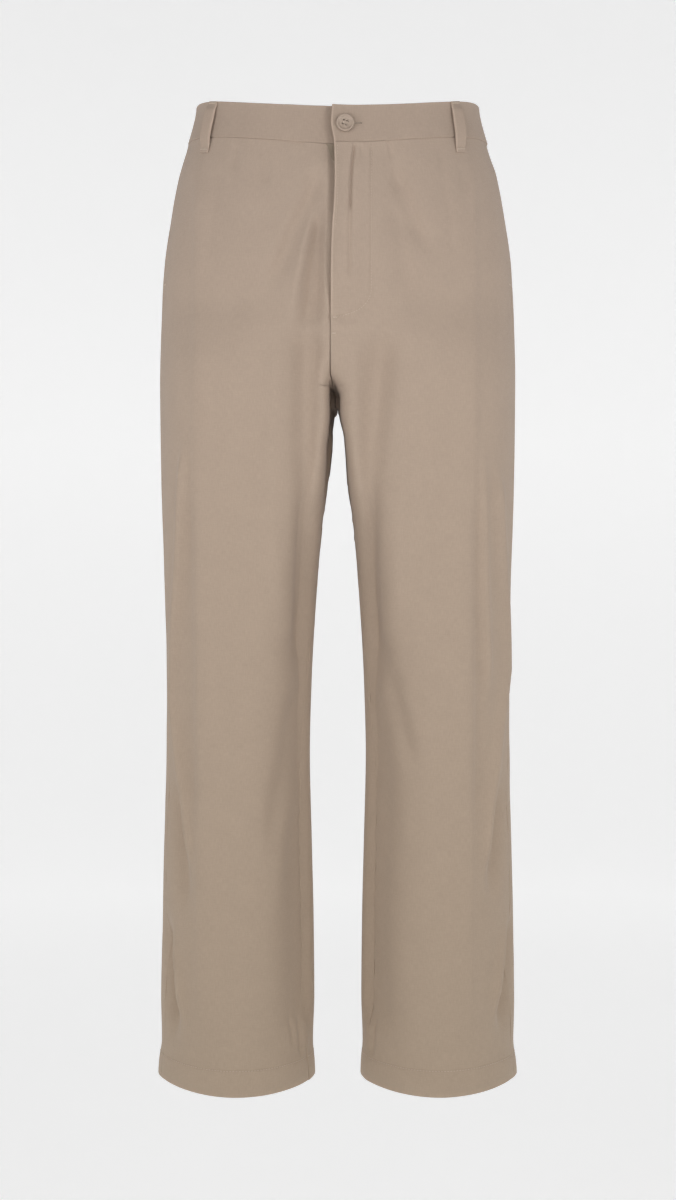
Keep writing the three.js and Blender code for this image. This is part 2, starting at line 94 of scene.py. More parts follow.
FRONT_ROLL = 0.5            # the same at the centre front and the front of the inseam
HEM_ROLL = 1.3
EDGE_STEPS = np.array([0, 0.05, 0.17, 0.38, 0.7, 1.1, 1.8, 3, 5, 7.5])
EDGE_LEFT = 0.02            # half of the wall that is left where both faces are rounded
ALLOWANCE = 10              # seam allowance, pressed open on the inside
ALLOWANCE_WALL = 0.8
FLY_WIDTH = 36              # width of the facing behind the lapped fly edge
FACING_FADE = 2
FLY_ROLL = 1.15             # radius of the lapped edge
FLY_FADE = 6                # height over which the open fly ends
FLY_LAP = 1.8               # the right front runs on this far under the lapped edge
FLY_LAP_REACH = 40
FLY_RECESS = 2.2            # how far the right front sinks beside the lapped edge
FLY_RECESS_WIDTH = 6
FLY_RECESS_NARROW = 0.35    # share of its width where the lapped edge lies flat
FLY_RECESS_FADE = 12
FLY_BANK = 2.4              # height of the bank on the right front beside the recess
FLY_BANK_WIDTH = 9
FLY_LIFT = 6.6              # the lapped edge stands off the form by this much
FLY_LIFT_REACH = 15
FLY_CLOSES = -216           # where the lapped edge lies flat again
FLY_TAPER = 70
FLY_FOLLOWS = 30            # height below the waist seam that follows the band's under end


def table(columns, *rows):
    """A table with named columns, whose rows run down the garment in z."""
    return dict(zip(columns.split(), np.array(rows, float).T))


# half_width: centre line to the side. gap: centre line to the inseam. front, back: depth
# each way. outer, inner: squareness on the side-seam half and on the inseam half, which
# INNER_THIGH sets for the front: there the cloth turns sharply into the gap of the legs.
FORM = table(
    "z half_width gap front back outer inner",
    (20, 151.2, 0.15, 106, 108, 2.4, 2.4),
    (-20, 159.6, 0.15, 108, 114, 2.4, 2.4),
    (-55, 170.4, 0.15, 111, 122, 2.4, 2.4),
    (-100, 178.8, 0.15, 114, 131, 2.4, 2.4),
    (-150, 185.6, 0.15, 115, 136, 2.4, 2.4),
    (-210, 188.6, 0.15, 113, 135, 2.35, 2.5),
    (-260, 189.6, 0.15, 110, 129, 2.35, 2.9),
    (-301, 189.6, 0.15, 107, 122, 2.3, 3.3),
    (-333, 189.2, 4, 105, 117, 2.3, 3),
    (-378, 188.6, 10.2, 101, 110, 2.25, 2.6),
    (-425, 187.6, 16.6, 97, 103, 2.2, 2.3),
    (-505, 185.4, 23.2, 90, 94, 2.1, 2.15),
    (-590, 183.6, 28, 84, 87, 2, 2.05),
    (-670, 184, 30, 81, 84, 1.95, 2),
    (-760, 186.4, 28, 80, 83, 1.9, 1.95),
    (-850, 188.6, 25.9, 80, 83, 1.85, 1.9),
    (-930, 189.8, 25.2, 80, 83, 1.85, 1.85),
    (-976, 188.8, 26.6, 79.5, 82, 1.85, 1.85),
    (-1000, 191.4, 25, 81, 84, 1.85, 1.85),
    (-1012, 192, 24.6, 81.5, 84.5, 1.85, 1.85),
)
# How far level lines dip at the centre front and rise at the centre back.
DIPS = table(
    "z front_dip back_rise spread",
    (20, 20.6, 14, 2.4),
    (-20, 20, 13, 1.6),
    (-150, 9, 7, 2),
    (-290, 0, 0, 2),
)
# Squareness of the front's inner half, and distance from the leg's innermost line over
# which folds fade.
INNER_THIGH = table(
    "z inner_front fold_room",
    (-20, 2.4, 14), (-150, 2.4, 14), (-210, 3, 14), (-260, 6, 14), (-290, 11, 14),
    (-333, 11, 14), (-378, 8, 13), (-425, 4.6, 9), (-505, 2.6, 6), (-590, 2.1, 6),
    (-670, 1.95, 6), (-760, 1.85, 6), (-1012, 1.85, 6),
)
# How far each leg's front corner moves away from the centre line, which opens a dark notch
# under the fly. nip is the right leg's alone.
WEDGE = table(
    "z part nip",
    (-272, 0, 0), (-278, 1.2, 0), (-285, 2.5, 0), (-295, 4.4, 0), (-304, 4.3, 0),
    (-313, 3.7, 0), (-333, 2.8, 1.3), (-345, 2.2, 2.2), (-370, 0.6, 2), (-402, 0, 1.1),
    (-440, 0, 0),
)
HEM_DROOP_START = -960
HEM_DROOP_FRONT = 6.8
HEM_DROOP_BACK = 3
HEM_DROOP_INWARD = 9
# Sideways run of the centre-front edge.
CENTRE = table(
    "z shift",
    (20, -6), (2, -7.2), (-20, -4), (-60, -3.4), (-140, -6.9), (-262, -7.8), (-272, -7.8),
    (-278, -6.3), (-285, -5), (-295, -3), (-313, -2.8), (-333, -0.9), (-345, -0.5), (-378, 0),
)
# Distance of the side seam and the inseam in front of the widest line of the leg.
SEAMS = table(
    "z side inseam",
    (-20, 27, 0), (-300, 34, 0), (-500, 28, 18), (-750, 24, 26), (-1012, 24, 27),
)

# Folds: height (a trough is negative), width, lean, then the points [x, z] that each runs
# through, seen from the front (or through the cloth, from the front, on the back).
FRONT_FOLDS = [
    # Right leg: the trough beside the fly runs on down the inside of the leg.
    (-10.5, 12, 0.4, [(-16, -100), (-20, -130), (-27, -178), (-32, -235)]),
    (2.5, 6, 0, [(-23, -100), (-33, -140), (-42, -180), (-48, -220)]),
    (-14, 17, 0.2, [(-32, -225), (-33, -279), (-33, -345), (-31, -400), (-30, -485), (-30, -570)]),
    (-8, 24, 0.3, [
        (-30, -540), (-32, -628), (-36, -710), (-40, -772), (-38, -834), (-36, -960),
    ]),
    (-6, 10, 0.3, [(-14, -62), (-25, -88), (-43, -124), (-57, -158), (-68, -190)]),
    (1.8, 8, 0, [(-14, -262), (-14, -330), (-18, -380)]),
    (2.4, 9, 0, [(-64, -240), (-68, -330), (-66, -430), (-60, -520)]),
    (2.6, 9, 0.6, [(-145, -60), (-145, -330), (-144, -640), (-143, -950)]),
    (-3, 8, 0, [(-155, -400), (-157, -520), (-157, -640), (-152, -730)]),
    (6.5, 4, 0, [
        (-158, -345), (-162, -400), (-166, -470), (-171, -545), (-173, -610), (-165, -688),
        (-155, -782),
    ]),
    (-8.5, 8, 0, [(-174, -690), (-166, -760), (-160, -830)]),
    (6.5, 5, 0, [(-176, -850), (-168, -908), (-163, -945)]),
    (-12, 7, 0, [(-183, -840), (-177, -900), (-173, -965)]),
    (-3.6, 10, 0, [(-40, -600), (-58, -690), (-70, -760)]),
    (1.8, 9, 0, [(-30, -690), (-52, -740), (-66, -830)]),
    # Left leg.
    (-6.5, 10, -0.3, [(56, -52), (61, -74), (69, -90), (79, -120), (92, -152)]),
    (-4, 10, -0.3, [(48, -94), (62, -120), (73, -176), (76, -205)]),
    (-13, 18, -0.2, [
        (45, -230), (42, -279), (37, -330), (30, -408), (26, -459), (27, -520), (30, -570),
    ]),
    (-8, 24, -0.3, [
        (30, -540), (33, -587), (39, -649), (43, -710), (40, -762), (37, -834), (38, -960),
    ]),
    (2.2, 9, 0, [(18, -258), (18, -361), (22, -420)]),
    (2.4, 10, 0, [(66, -360), (62, -450), (58, -520)]),
    (2.6, 9, -0.6, [(139, -60), (139, -330), (138, -640), (137, -950)]),
    (-3, 8, 0, [(143, -400), (145, -520), (147, -640), (145, -740)]),
    (4.5, 4, 0, [(149, -355), (152, -440), (155, -540), (157, -600)]),
    (6.5, 5, 0, [
        (165, -369), (169, -432), (175, -510), (177, -578), (166, -662), (159, -735), (154, -787),
    ]),
    (-8.5, 8, 0, [(174, -690), (168, -755), (162, -820)]),
    (6.5, 5, 0, [(180, -840), (172, -887), (164, -940)]),
    (-12, 7, 0, [(186, -840), (180, -900), (174, -960)]),
    (-4.2, 10, 0, [(45, -557), (59, -608), (70, -655), (77, -682)]),
    (1.8, 9, 0, [(30, -640), (46, -590), (60, -560)]),
]
BACK_FOLDS = [
    (-6.1, 13, 0, [(-30, -190), (-62, -240), (-120, -275)]),
    (-7.1, 14, 0, [(-26, -270), (-60, -330), (-92, -420)]),
    (-4.4, 13, 0, [(-112, -330), (-118, -450), (-108, -560)]),
    (-5.8, 12, 0, [(-62, -560), (-104, -610), (-150, -625)]),
    (-3.7, 13, 0, [(-78, -700), (-98, -820), (-92, -930)]),
    (-5.8, 13, 0, [(28, -200), (70, -246), (128, -268)]),
    (-7.5, 14, 0, [(24, -262), (54, -336), (84, -440)]),
    (-4.1, 13, 0, [(118, -340), (114, -470), (122, -570)]),
    (-5.4, 12, 0, [(58, -585), (98, -622), (146, -650)]),
    (-4.1, 13, 0, [(96, -720), (84, -830), (98, -940)]),
]
# Finer creases, which only show in the cloth's finish.
FRONT_CREASES = [
    (-2.6, 1.5, -0.3, [(17, -40), (15, -58), (13.5, -80), (12.5, -110)]),
    (-1.3, 2.0, -0.2, [(12.8, -100), (12, -130), (12, -175)]),
    (-1.0, 2.0, 0, [(24, -42), (25, -56)]),
    (-0.9, 1.8, 0, [(34, -46), (35, -66)]),
    (-1.4, 3.0, 0, [(48, -30), (54, -44), (56, -58)]),
    (1.0, 2.4, 0, [(44, -24), (49, -38)]),
    (-1.6, 3.0, 0, [(-72, -40), (-73, -82)]),
    (-1.4, 3.6, 0, [(-104, -36), (-106, -64)]),
    (1.0, 4.0, 0, [(-92, -30), (-92, -58)]),
    (-1.0, 5.0, 0, [(-120, -60), (-130, -120), (-134, -170)]),
    (-1.0, 4.0, 0, [(104, -40), (112, -90), (118, -150)]),
    (-0.9, 5.0, 0, [(128, -55), (132, -90), (133, -120)]),
    (0.9, 2.2, 0, [(1, -196), (14, -200), (26, -194)]),
    (-1.7, 1.7, 0, [(-5, -220), (2, -216), (9, -219)]),
    (1.2, 2.2, 0, [(-3, -225), (10, -228), (22, -224)]),
    (-0.8, 2.4, 0, [(-5, -184), (6, -187), (16, -184)]),
    (-1.0, 6.0, 0, [(-70, -300), (-84, -360), (-88, -420)]),
    (-0.9, 7.0, 0, [(80, -310), (94, -380), (98, -440)]),
    (-0.9, 7.0, 0, [(-70, -560), (-96, -600), (-130, -612)]),
    (-0.9, 7.0, 0, [(64, -590), (92, -622), (128, -634)]),
    (-0.9, 7.0, 0, [(-110, -780), (-118, -850), (-116, -930)]),
    (-0.9, 7.0, 0, [(112, -760), (120, -840), (116, -920)]),
    (-2.2, 1.9, 0, [(-39, -948), (-38, -985)]),
    (-1.8, 2.2, 0, [(-48, -940), (-46, -972)]),
    (1.6, 2.4, 0, [(-33, -950), (-34, -985)]),
    (-2.0, 2.0, 0, [(37, -950), (36, -985)]),
    (1.6, 2.4, 0, [(31, -950), (31, -986)]),
]
BACK_CREASES = [
    (-0.9, 6.0, 0, [(-60, -120), (-80, -160), (-96, -182)]),
    (-0.9, 6.0, 0, [(62, -118), (84, -158), (100, -184)]),
    (-1.0, 7.0, 0, [(-12, -232), (-40, -262), (-78, -284)]),
    (-1.0, 7.0, 0, [(12, -238), (38, -268), (80, -290)]),
    (0.8, 7.0, 0, [(-140, -420), (-146, -540), (-140, -640)]),
    (0.8, 7.0, 0, [(142, -430), (148, -550), (140, -650)]),
    (-1.0, 7.0, 0, [(-70, -590), (-98, -634), (-136, -652)]),
    (-1.0, 7.0, 0, [(66, -612), (92, -650), (130, -672)]),
    (-0.8, 8.0, 0, [(-60, -760), (-70, -860), (-64, -950)]),
    (-0.8, 8.0, 0, [(62, -780), (70, -870), (66, -950)]),
]
FOLD_FADE = 45              # length over which a fold, a crease and a lean end
CREASE_FADE = 10
LEAN_FADE = 40
SIDE_ROOM = 20              # depth over which front folds fade towards the widest line
WALK_STEPS = 400            # steps in which the way round a leg is measured

# Unevenness of cloth: height, length of a patch each way, and seed.
CLOTH_UNEVEN = [(0.55, 42, 95, 5), (0.22, 15, 34, 6)]
BAND_UNEVEN = [(0.45, 26, 30, 71), (0.2, 9, 22, 72)]
SHIELD_UNEVEN = [(0.2, 14, 30, 51)]
POCKET_UNEVEN = [(0.7, 30, 50, 61)]
LOOP_UNEVEN = [(0.25, 9, 8, 90)]
LATTICE = 64                # patches each way, after which unevenness repeats

# Puckers beside a seam: height, reach, pitch and seed.
WAIST_PUCKERS = [(0.75, 9, 13, 0), (0.3, 5, 5, 40)]
HEM_PUCKERS = [(0.55, 12, 16, 80), (0.22, 6, 6, 120)]
LEG_PUCKERS = (0.9, 8, 10, 160)
SIDE_PUCKERS = (0.45, 7, 17, 200)
BAND_PUCKERS = [(0.5, 6, 12, 73), (0.25, 3.5, 4.5, 74)]
PANEL_SEEDS = {"front": 20, "back": 30}

# Belt loop: level, and how far its inner face lies off the form there.
LOOP_PROFILE = [
    (19.6, 0.8), (18.6, 0.9), (17, 1.2), (15, 2.1), (13, 3.8), (11, 5.4), (7, 6.4),
    (3, 6.8), (-3, 7), (-8, 7), (-14, 6.8), (-19, 6.2), (-23, 5.2), (-26, 4.1), (-28.5, 2.6),
    (-30, 1.3), (-32, 0.7), (-34, 0.45), (-36, 0.35),
]
# Name, x, whether it is on the back, and how far it leans round the waist.
LOOPS = [
    ("loop_front_right", -130, False, 0.017),
    ("loop_front_left", 121, False, -0.042),
    ("loop_back_right", -88, True, 0.0),
    ("loop_back_left", 88, True, 0.0),
    ("loop_back_centre", 0, True, 0.0),
]
LOOP_TILT = 0.6             # a loop stands off less on the side of the centre line
LOOP_TOP = 19.9
LOOP_END = -36.5
LOOP_ROWS = np.concatenate([[LOOP_TOP, 19.8], np.linspace(19.6, -36, 60), [-36.3, LOOP_END]])
LOOP_EDGE = np.array([0, 0.05, 0.2, 0.45, 0.8, 1.3, 2.4, 4, 6])
LOOP_HEIGHT = 56            # height over which a loop leans
LOOP_CROWN = 0.25
LOOP_TACKS = (17.6, -33.4)  # levels of its two bartacks
LOOP_CUT = 0.066            # length of its strip, in metres
BUTTON_X = 14
BUTTON_LIFT = 1.5           # gap between the button and the waistband
# Radius and height of each corner of the turned button.
BUTTON_PROFILE = [
    (0, 0), (6.2, 0), (8.1, 0.5), (8.9, 1.2), (9.25, 1.9), (9.15, 2.6), (8.7, 3.1), (8.1, 3.3),
    (7.4, 3.15), (6.9, 2.7), (6.4, 2.3), (5.6, 2.1), (3, 2.0), (0, 2.0),
]


# ------------------------------------------------------------------ small functions
def clamp01(t):
    return np.clip(t, 0, 1)


def smooth(t):
    t = clamp01(t)
    return t * t * (3 - 2 * t)


def column(rows, name, z):
    """Smooth curve through a column of a table."""
    levels, values = rows["z"], rows[name]
    rise = np.diff(values) / np.diff(levels)
    product = rise[:-1] * rise[1:]
    both = np.where(product > 0, rise[:-1] + rise[1:], 1)
    slope = np.concatenate([[0], np.where(product > 0, 2 * product / both, 0), [0]])
    z = np.clip(z, levels[-1], levels[0])
    i = np.clip(np.searchsorted(-levels, -z, side="right") - 1, 0, len(levels) - 2)
    span = levels[i + 1] - levels[i]
    t = (z - levels[i]) / span
    return (
        (2 * t**3 - 3 * t**2 + 1) * values[i]
        + (t**3 - 2 * t**2 + t) * span * slope[i]
        + (3 * t**2 - 2 * t**3) * values[i + 1]
        + (t**3 - t**2) * span * slope[i + 1]
    )


def patchy(u, v, seed):
    """Smooth uneven values from -1 to 1 over a plane, one cell to each whole number."""
    lattice = np.random.default_rng(seed).uniform(-1, 1, (LATTICE, LATTICE))
    above_zero = 10 * LATTICE
    u, v = np.broadcast_arrays(np.asarray(u, float) + above_zero, np.asarray(v, float) + above_zero)
    i, j = np.floor(u).astype(int), np.floor(v).astype(int)
    a, b = smooth(u - i), smooth(v - j)

    def at(m, n):
        return lattice[(i + m) % LATTICE, (j + n) % LATTICE]

    return (
        at(0, 0) * (1 - a) * (1 - b) + at(1, 0) * a * (1 - b)
        + at(0, 1) * (1 - a) * b + at(1, 1) * a * b
    )


def uneven(layers, u, v, seed_step=0):
    """Soft unevenness in layers, as in CLOTH_UNEVEN."""
    return sum(
        height * patchy(u / length, v / depth, seed + seed_step)
        for height, length, depth, seed in layers
    )


def puckers(distance, along, height, reach, pitch, seed, seed_step=0):
    """Short uneven ripples that run away from a seam and die out over reach."""
    ripple = patchy(along / pitch, distance / (5 * pitch), seed + seed_step)
    return height * ripple * np.exp(-np.clip(distance, 0, None) / reach)


def edge_roll(distance, radius):
    """Depth by which a rounded edge falls away at a distance from it."""
    inside = clamp01(1 - distance / radius)
    return radius * (1 - np.sqrt(1 - inside**2))


# ------------------------------------------------------------------ form of the garment
def split_at(z, start, end):
    """How far a seam between the legs has sunk: 0 at start, 1 at end."""
    return smooth((start - z) / (start - end))


def rest_of(share, power):
    """The other share of a point on a superellipse of this power."""
    return (1 - np.abs(share) ** power) ** (1 / power)


def arch_at(z, fade):
    """Half width of the arch under the crotch at a level."""
    rise = smooth((FORK_ARCH_TOP - z) / FORK_ARCH_RISE)
    return FORK_ARCH * rise * (1 - smooth((FORK - fade / 2 - z) / fade))


def ring_at(z):
    """One leg's section at a level. Its angle runs 0 at the side, pi/2 at the front."""
    z = np.asarray(z, float)
    ring = {name: column(FORM, name, z) for name in FORM if name != "z"}
    for rows in (DIPS, INNER_THIGH, WEDGE, CENTRE):
        ring.update({name: column(rows, name, z) for name in rows if name != "z"})
    front_split = split_at(z, FRONT_SPLIT_START, FRONT_SPLIT_END)
    return ring | {
        "z": z,
        "droop": smooth((HEM_DROOP_START - z) / (HEM_DROOP_START - HEM)),
        "front_split": front_split,
        "back_split": split_at(z, BACK_SPLIT_START, FORK),
        "wedge_floor": np.maximum(rest_of(front_split, ring["inner_front"]), WEDGE_FLOOR),
        "arch_right": arch_at(z, FORK_ARCH_FADE["right"]),
        "arch_left": arch_at(z, FORK_ARCH_FADE["left"]),
    }


def ring_point(half, ring, angle):
    """x, away from the centre line, and y of a point on one leg's section."""
    on_front = np.sin(angle) >= 0
    inner = np.where(on_front, ring["inner_front"], ring["inner"])
    power = np.where(np.cos(angle) >= 0, ring["outer"], inner)
    reach = (np.abs(np.cos(angle)) ** power + np.abs(np.sin(angle)) ** power) ** (-1 / power)
    across, forward = np.cos(angle) * reach, np.sin(angle) * reach
    split = np.where(on_front, ring["front_split"], ring["back_split"])
    radius = (ring["half_width"] - ring["gap"]) / (1 + split)
    inward = ((1 - across) / 2) ** 4
    floor = ring["wedge_floor"]
    parted = (ring["part"] + ring["nip"] * (half < 0)) * smooth((forward - floor) / WEDGE_STEP)
    opening = np.maximum(np.where(half > 0, ring["arch_left"], ring["arch_right"]), parted)
    x = ring["gap"] + radius * (split + across) + opening * inward
    depth = np.where(on_front, ring["front"], ring["back"])
    return x, -depth * forward


def level_shift(ring, x, y):
    """How far a level line rises or falls at a point, at the waist and at the hem."""
    across = clamp01(np.abs(x) / ring["half_width"])
    waist = np.where(y < 0, -ring["front_dip"], ring["back_rise"])
    leg_radius = (ring["half_width"] - ring["gap"]) / 2
    lowest = ring["gap"] + leg_radius - HEM_DROOP_INWARD
    from_middle = clamp01(np.abs(np.abs(x) - lowest) / leg_radius)
    droop = np.where(y < 0, HEM_DROOP_FRONT, HEM_DROOP_BACK) * ring["droop"]
    return waist * (1 - across ** ring["spread"]) - droop * (1 - from_middle**2)


def form_point(half, ring, angle):
    """half is +1 for the wearer's left and -1 for the right."""
    x, y = ring_point(half, ring, angle)
    sideways = half * x
    shift = ring["shift"] * np.exp(-((sideways / CENTRE_SPREAD) ** 2)) * smooth(-y / CENTRE_DEPTH)
    z = ring["z"] + level_shift(ring, sideways, y)
    return np.stack(np.broadcast_arrays(sideways + shift, y, z), axis=-1)


def form_normal(half, z, angle):
    """Outward normal of the form, from points a little way off on each side."""
    ring, lower, upper = ring_at(z), ring_at(z - STEP_LEVEL), ring_at(z + STEP_LEVEL)
    across = form_point(half, ring, angle + STEP_ANGLE) - form_point(half, ring, angle - STEP_ANGLE)
    down = form_point(half, lower, angle) - form_point(half, upper, angle)
    normal = np.cross(across, down) * np.asarray(half)[..., None]
    return normal / np.linalg.norm(normal, axis=-1, keepdims=True)


def fold_height(folds, x, z, fade):
    """Height that the folds add at each point [x, z]. Lean widens the flank on the +X side."""
    total = np.zeros(np.broadcast(x, z).shape)
    for height, width, lean, run in folds:
        points = np.array(run, float)
        steps = np.diff(points, axis=0)
        lengths = np.hypot(steps[:, 0], steps[:, 1])
        near = np.full(total.shape, 1e9)
        along, beside = np.zeros(total.shape), np.zeros(total.shape)
        travelled = 0.0
        for (x0, z0), (dx, dz), length in zip(points, steps, lengths):
            t = clamp01(((x - x0) * dx + (z - z0) * dz) / length**2)
            distance = np.hypot(x - x0 - t * dx, z - z0 - t * dz)
            closer = distance < near
            near = np.where(closer, distance, near)
            along = np.where(closer, travelled + t * length, along)
            beside = np.where(closer, np.sign(dx * (z - z0) - dz * (x - x0)), beside)
            travelled += length
        end = np.minimum(along, travelled - along)
        flank = width * np.exp(lean * beside * smooth(end / LEAN_FADE))
        total += height * np.exp(-((near / flank) ** 2)) * smooth(0.25 + end / fade)
    return total


def cloth_lift(ring, point):
    """Folds, creases and soft unevenness of the cloth above the form."""
    x, y, z = point[..., 0], point[..., 1], point[..., 2]
    room = smooth((np.abs(x - ring["shift"]) - ring["gap"]) / ring["fold_room"])
    front = fold_height(FRONT_FOLDS, x, z, FOLD_FADE) * room * smooth(-y / SIDE_ROOM)
    front += fold_height(FRONT_CREASES, x, z, CREASE_FADE)
    back = fold_height(BACK_FOLDS, x, z, FOLD_FADE) * room
    back += fold_height(BACK_CREASES, x, z, CREASE_FADE) * room
    return np.where(y < 0, front, back) + uneven(CLOTH_UNEVEN, x, z) * room


# ------------------------------------------------------------------ making meshes
MERGE_WITHIN = 2e-6         # metres
# Edges that turn by more than this stay sharp.
CLOTH_SMOOTH = math.radians(60)
THREAD_SMOOTH = math.radians(70)
BUTTON_SMOOTH = math.radians(35)
BACKDROP_SMOOTH = math.radians(40)


def deselect_all():
    if bpy.context.object and bpy.context.object.mode != "OBJECT":
        bpy.ops.object.mode_set(mode="OBJECT")
    bpy.ops.object.select_all(action="DESELECT")


def named(name):
    """Names the object that was just added, and its mesh."""
    piece = bpy.context.object
    piece.name = name
    piece.data.name = name
    return piece


def pick(piece):
    """Makes a piece the active one and the only one selected."""
    deselect_all()
    piece.select_set(True)
    bpy.context.view_layer.objects.active = piece


def turn_outwards(piece, merge=False):
    """Turns the faces of a closed piece outwards, after joining points that coincide."""
    pick(piece)
    bpy.ops.object.mode_set(mode="EDIT")
    bpy.ops.mesh.select_all(action="SELECT")
    if merge:
        bpy.ops.mesh.remove_doubles(threshold=MERGE_WITHIN)
    bpy.ops.mesh.normals_make_consistent(inside=False)
    bpy.ops.object.mode_set(mode="OBJECT")


def weld(piece, smooth_angle):
    """Closes a piece's seams, turns its faces outwards and smooths them."""
    turn_outwards(piece, merge=True)
    bpy.ops.object.shade_smooth_by_angle(angle=smooth_angle)


def closed_sheet(name, outer, inner, u, v, wear_and_highlight=None):
    """A sheet of cloth with a wall: two grids of points, in mm, sewn together all round.

    u and v are each point's place along the cloth, in mm. The last argument is 1 where an edge is
    painted lighter, for rubbed wear and a painted highlight.
    """
    wear_and_highlight = np.zeros(outer.shape[:2]) if wear_and_highlight is None else wear_and_highlight
    middle = (outer + inner) / 2

    def around(grid, back):
        return np.concatenate([grid, back[:, ::-1], grid[:, :1]], axis=1)

    def rows(grid, top, bottom):
        return np.concatenate([top, grid, bottom], axis=0)

    points = rows(around(outer, inner), *(around(m, m) for m in (middle[:1], middle[-1:])))
    flat = [np.broadcast_to(a, outer.shape[:2]) for a in (u, v, wear_and_highlight)]
    flat = [around(a, a) for a in flat]
    u, v, wear_and_highlight = (rows(a, a[:1], a[-1:]) for a in flat)
    count_down, count_across = points.shape[:2]
    deselect_all()
    bpy.ops.mesh.primitive_grid_add(
        x_subdivisions=count_across - 1, y_subdivisions=count_down - 1, size=1, calc_uvs=True
    )
    piece = named(name)
    mesh = piece.data
    mesh.vertices.foreach_set("co", (points * MM).astype(np.float32).ravel())
    corner = np.zeros(len(mesh.loops), np.int32)
    mesh.loops.foreach_get("vertex_index", corner)
    uv = np.stack([u.ravel()[corner], v.ravel()[corner]], axis=1) * MM
    mesh.uv_layers[0].data.foreach_set("uv", uv.astype(np.float32).ravel())
    # Edges painted lighter, for rubbed wear and a painted highlight.
    wear_and_highlight_values = mesh.attributes.new("wear_and_highlight", "FLOAT", "POINT")
    wear_and_highlight_values.data.foreach_set("value", wear_and_highlight.astype(np.float32).ravel())
    mesh.update()
    weld(piece, CLOTH_SMOOTH)
    return piece


def copies(name, template, places):
    """One mesh of many copies of a small template, at places: point, and three axes."""
    points = np.array([vertex.co for vertex in template.data.vertices], float)
    faces = [list(face.vertices) for face in template.data.polygons]
    origin, along, across, out = places
    moved = (
        origin[:, None]
        + points[None, :, 0:1] * along[:, None]
        + points[None, :, 1:2] * across[:, None]
        + points[None, :, 2:3] * out[:, None]
    )
    mesh = bpy.data.meshes.new(name)
    joined = [[i + k * len(points) for i in face] for k in range(len(origin)) for face in faces]
    mesh.from_pydata((moved.reshape(-1, 3) * MM).tolist(), [], joined)
    mesh.update()
    piece = bpy.data.objects.new(name, mesh)
    bpy.context.scene.collection.objects.link(piece)
    bpy.data.objects.remove(template)
    pick(piece)
    bpy.ops.object.shade_smooth_by_angle(angle=THREAD_SMOOTH)
    return piece


BEAD_FLATNESS = 0.8


def thread_bead(length, radius):
    """One stitch of thread: a long bead, flattened a little, in mm along X."""
    deselect_all()
    bpy.ops.mesh.primitive_uv_sphere_add(segments=6, ring_count=5, radius=1)
    bead = named("thread_bead")
    for vertex in bead.data.vertices:
        x, y, z = vertex.co
        vertex.co = (z * length / 2, x * radius, y * radius * BEAD_FLATNESS)
    return bead


def paint(piece, material):
    piece.data.materials.clear()
    piece.data.materials.append(material)


def finish_piece(piece, material, slot_name, *nodes):
    """Gives a piece its material and body, and hides the nodes that it replaces."""
    paint(piece, bpy.data.materials[material])
    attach(piece, "root")
    if nodes:
        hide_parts(*nodes)


# ------------------------------------------------------------------ materials
def srgb(colour):
    """Linear colour from display values."""
    return tuple(((c + 0.055) / 1.055) ** 2.4 if c > 0.04045 else c / 12.92 for c in colour)


class Nodes:
    """Adds shader nodes to a material, left to right."""

    def __init__(self, name):
        self.material = bpy.data.materials.get(name) or bpy.data.materials.new(name)
        self.material.use_nodes = True
        self.tree = self.material.node_tree
        self.tree.nodes.clear()
        self.output = self.add("OutputMaterial")
        self.shader = self.add("BsdfPrincipled")
        self.link(self.shader.outputs["BSDF"], self.output.inputs["Surface"])

    def add(self, kind, **settings):
        node = self.tree.nodes.new("ShaderNode" + kind)
        for key, value in settings.items():
            setattr(node, key, value)
        return node

    def link(self, source, target):
        self.tree.links.new(source, target)

    def feed(self, node, values):
        """Sets each input of a node from a number, a colour or another node's output."""
        for key, value in values.items():
            if isinstance(value, bpy.types.NodeSocket):
                self.link(value, node.inputs[key])
            else:
                node.inputs[key].default_value = value

    def math(self, operation, a, b=0.0, c=0.0):
        node = self.add("Math", operation=operation)
        self.feed(node, {0: a, 1: b, 2: c})
        return node.outputs[0]

    def noise(self, vector, scale, detail=2.0, roughness=0.5):
        node = self.add("TexNoise")
        self.feed(node, {
            "Vector": vector, "Scale": scale, "Detail": detail, "Roughness": roughness,
        })
        return node.outputs["Fac"]

    def stretch(self, vector, scale):
        node = self.add("Mapping")
        self.feed(node, {"Vector": vector, "Scale": scale})
        return node.outputs["Vector"]

    def ramp(self, value, low, high, out_low, out_high):
        """Turns values between low and high into values between out_low and out_high."""
        node = self.add("MapRange")
        self.feed(node, {
            "Value": value, "From Min": low, "From Max": high,
            "To Min": out_low, "To Max": out_high,
        })
        return node.outputs["Result"]

    def tint(self, colour, value):
        """A colour made lighter or darker by a value near 1."""
        node = self.add("VectorMath", operation="SCALE")
        self.feed(node, {0: colour, "Scale": value})
        return node.outputs["Vector"]

    def bump(self, height, distance, strength, below=None):
        """A relief on top of the one below it."""
        node = self.add("Bump")
        self.feed(node, {"Height": height, "Distance": distance, "Strength": strength})
        if below is not None:
            self.link(below, node.inputs["Normal"])
        return node.outputs["Normal"]


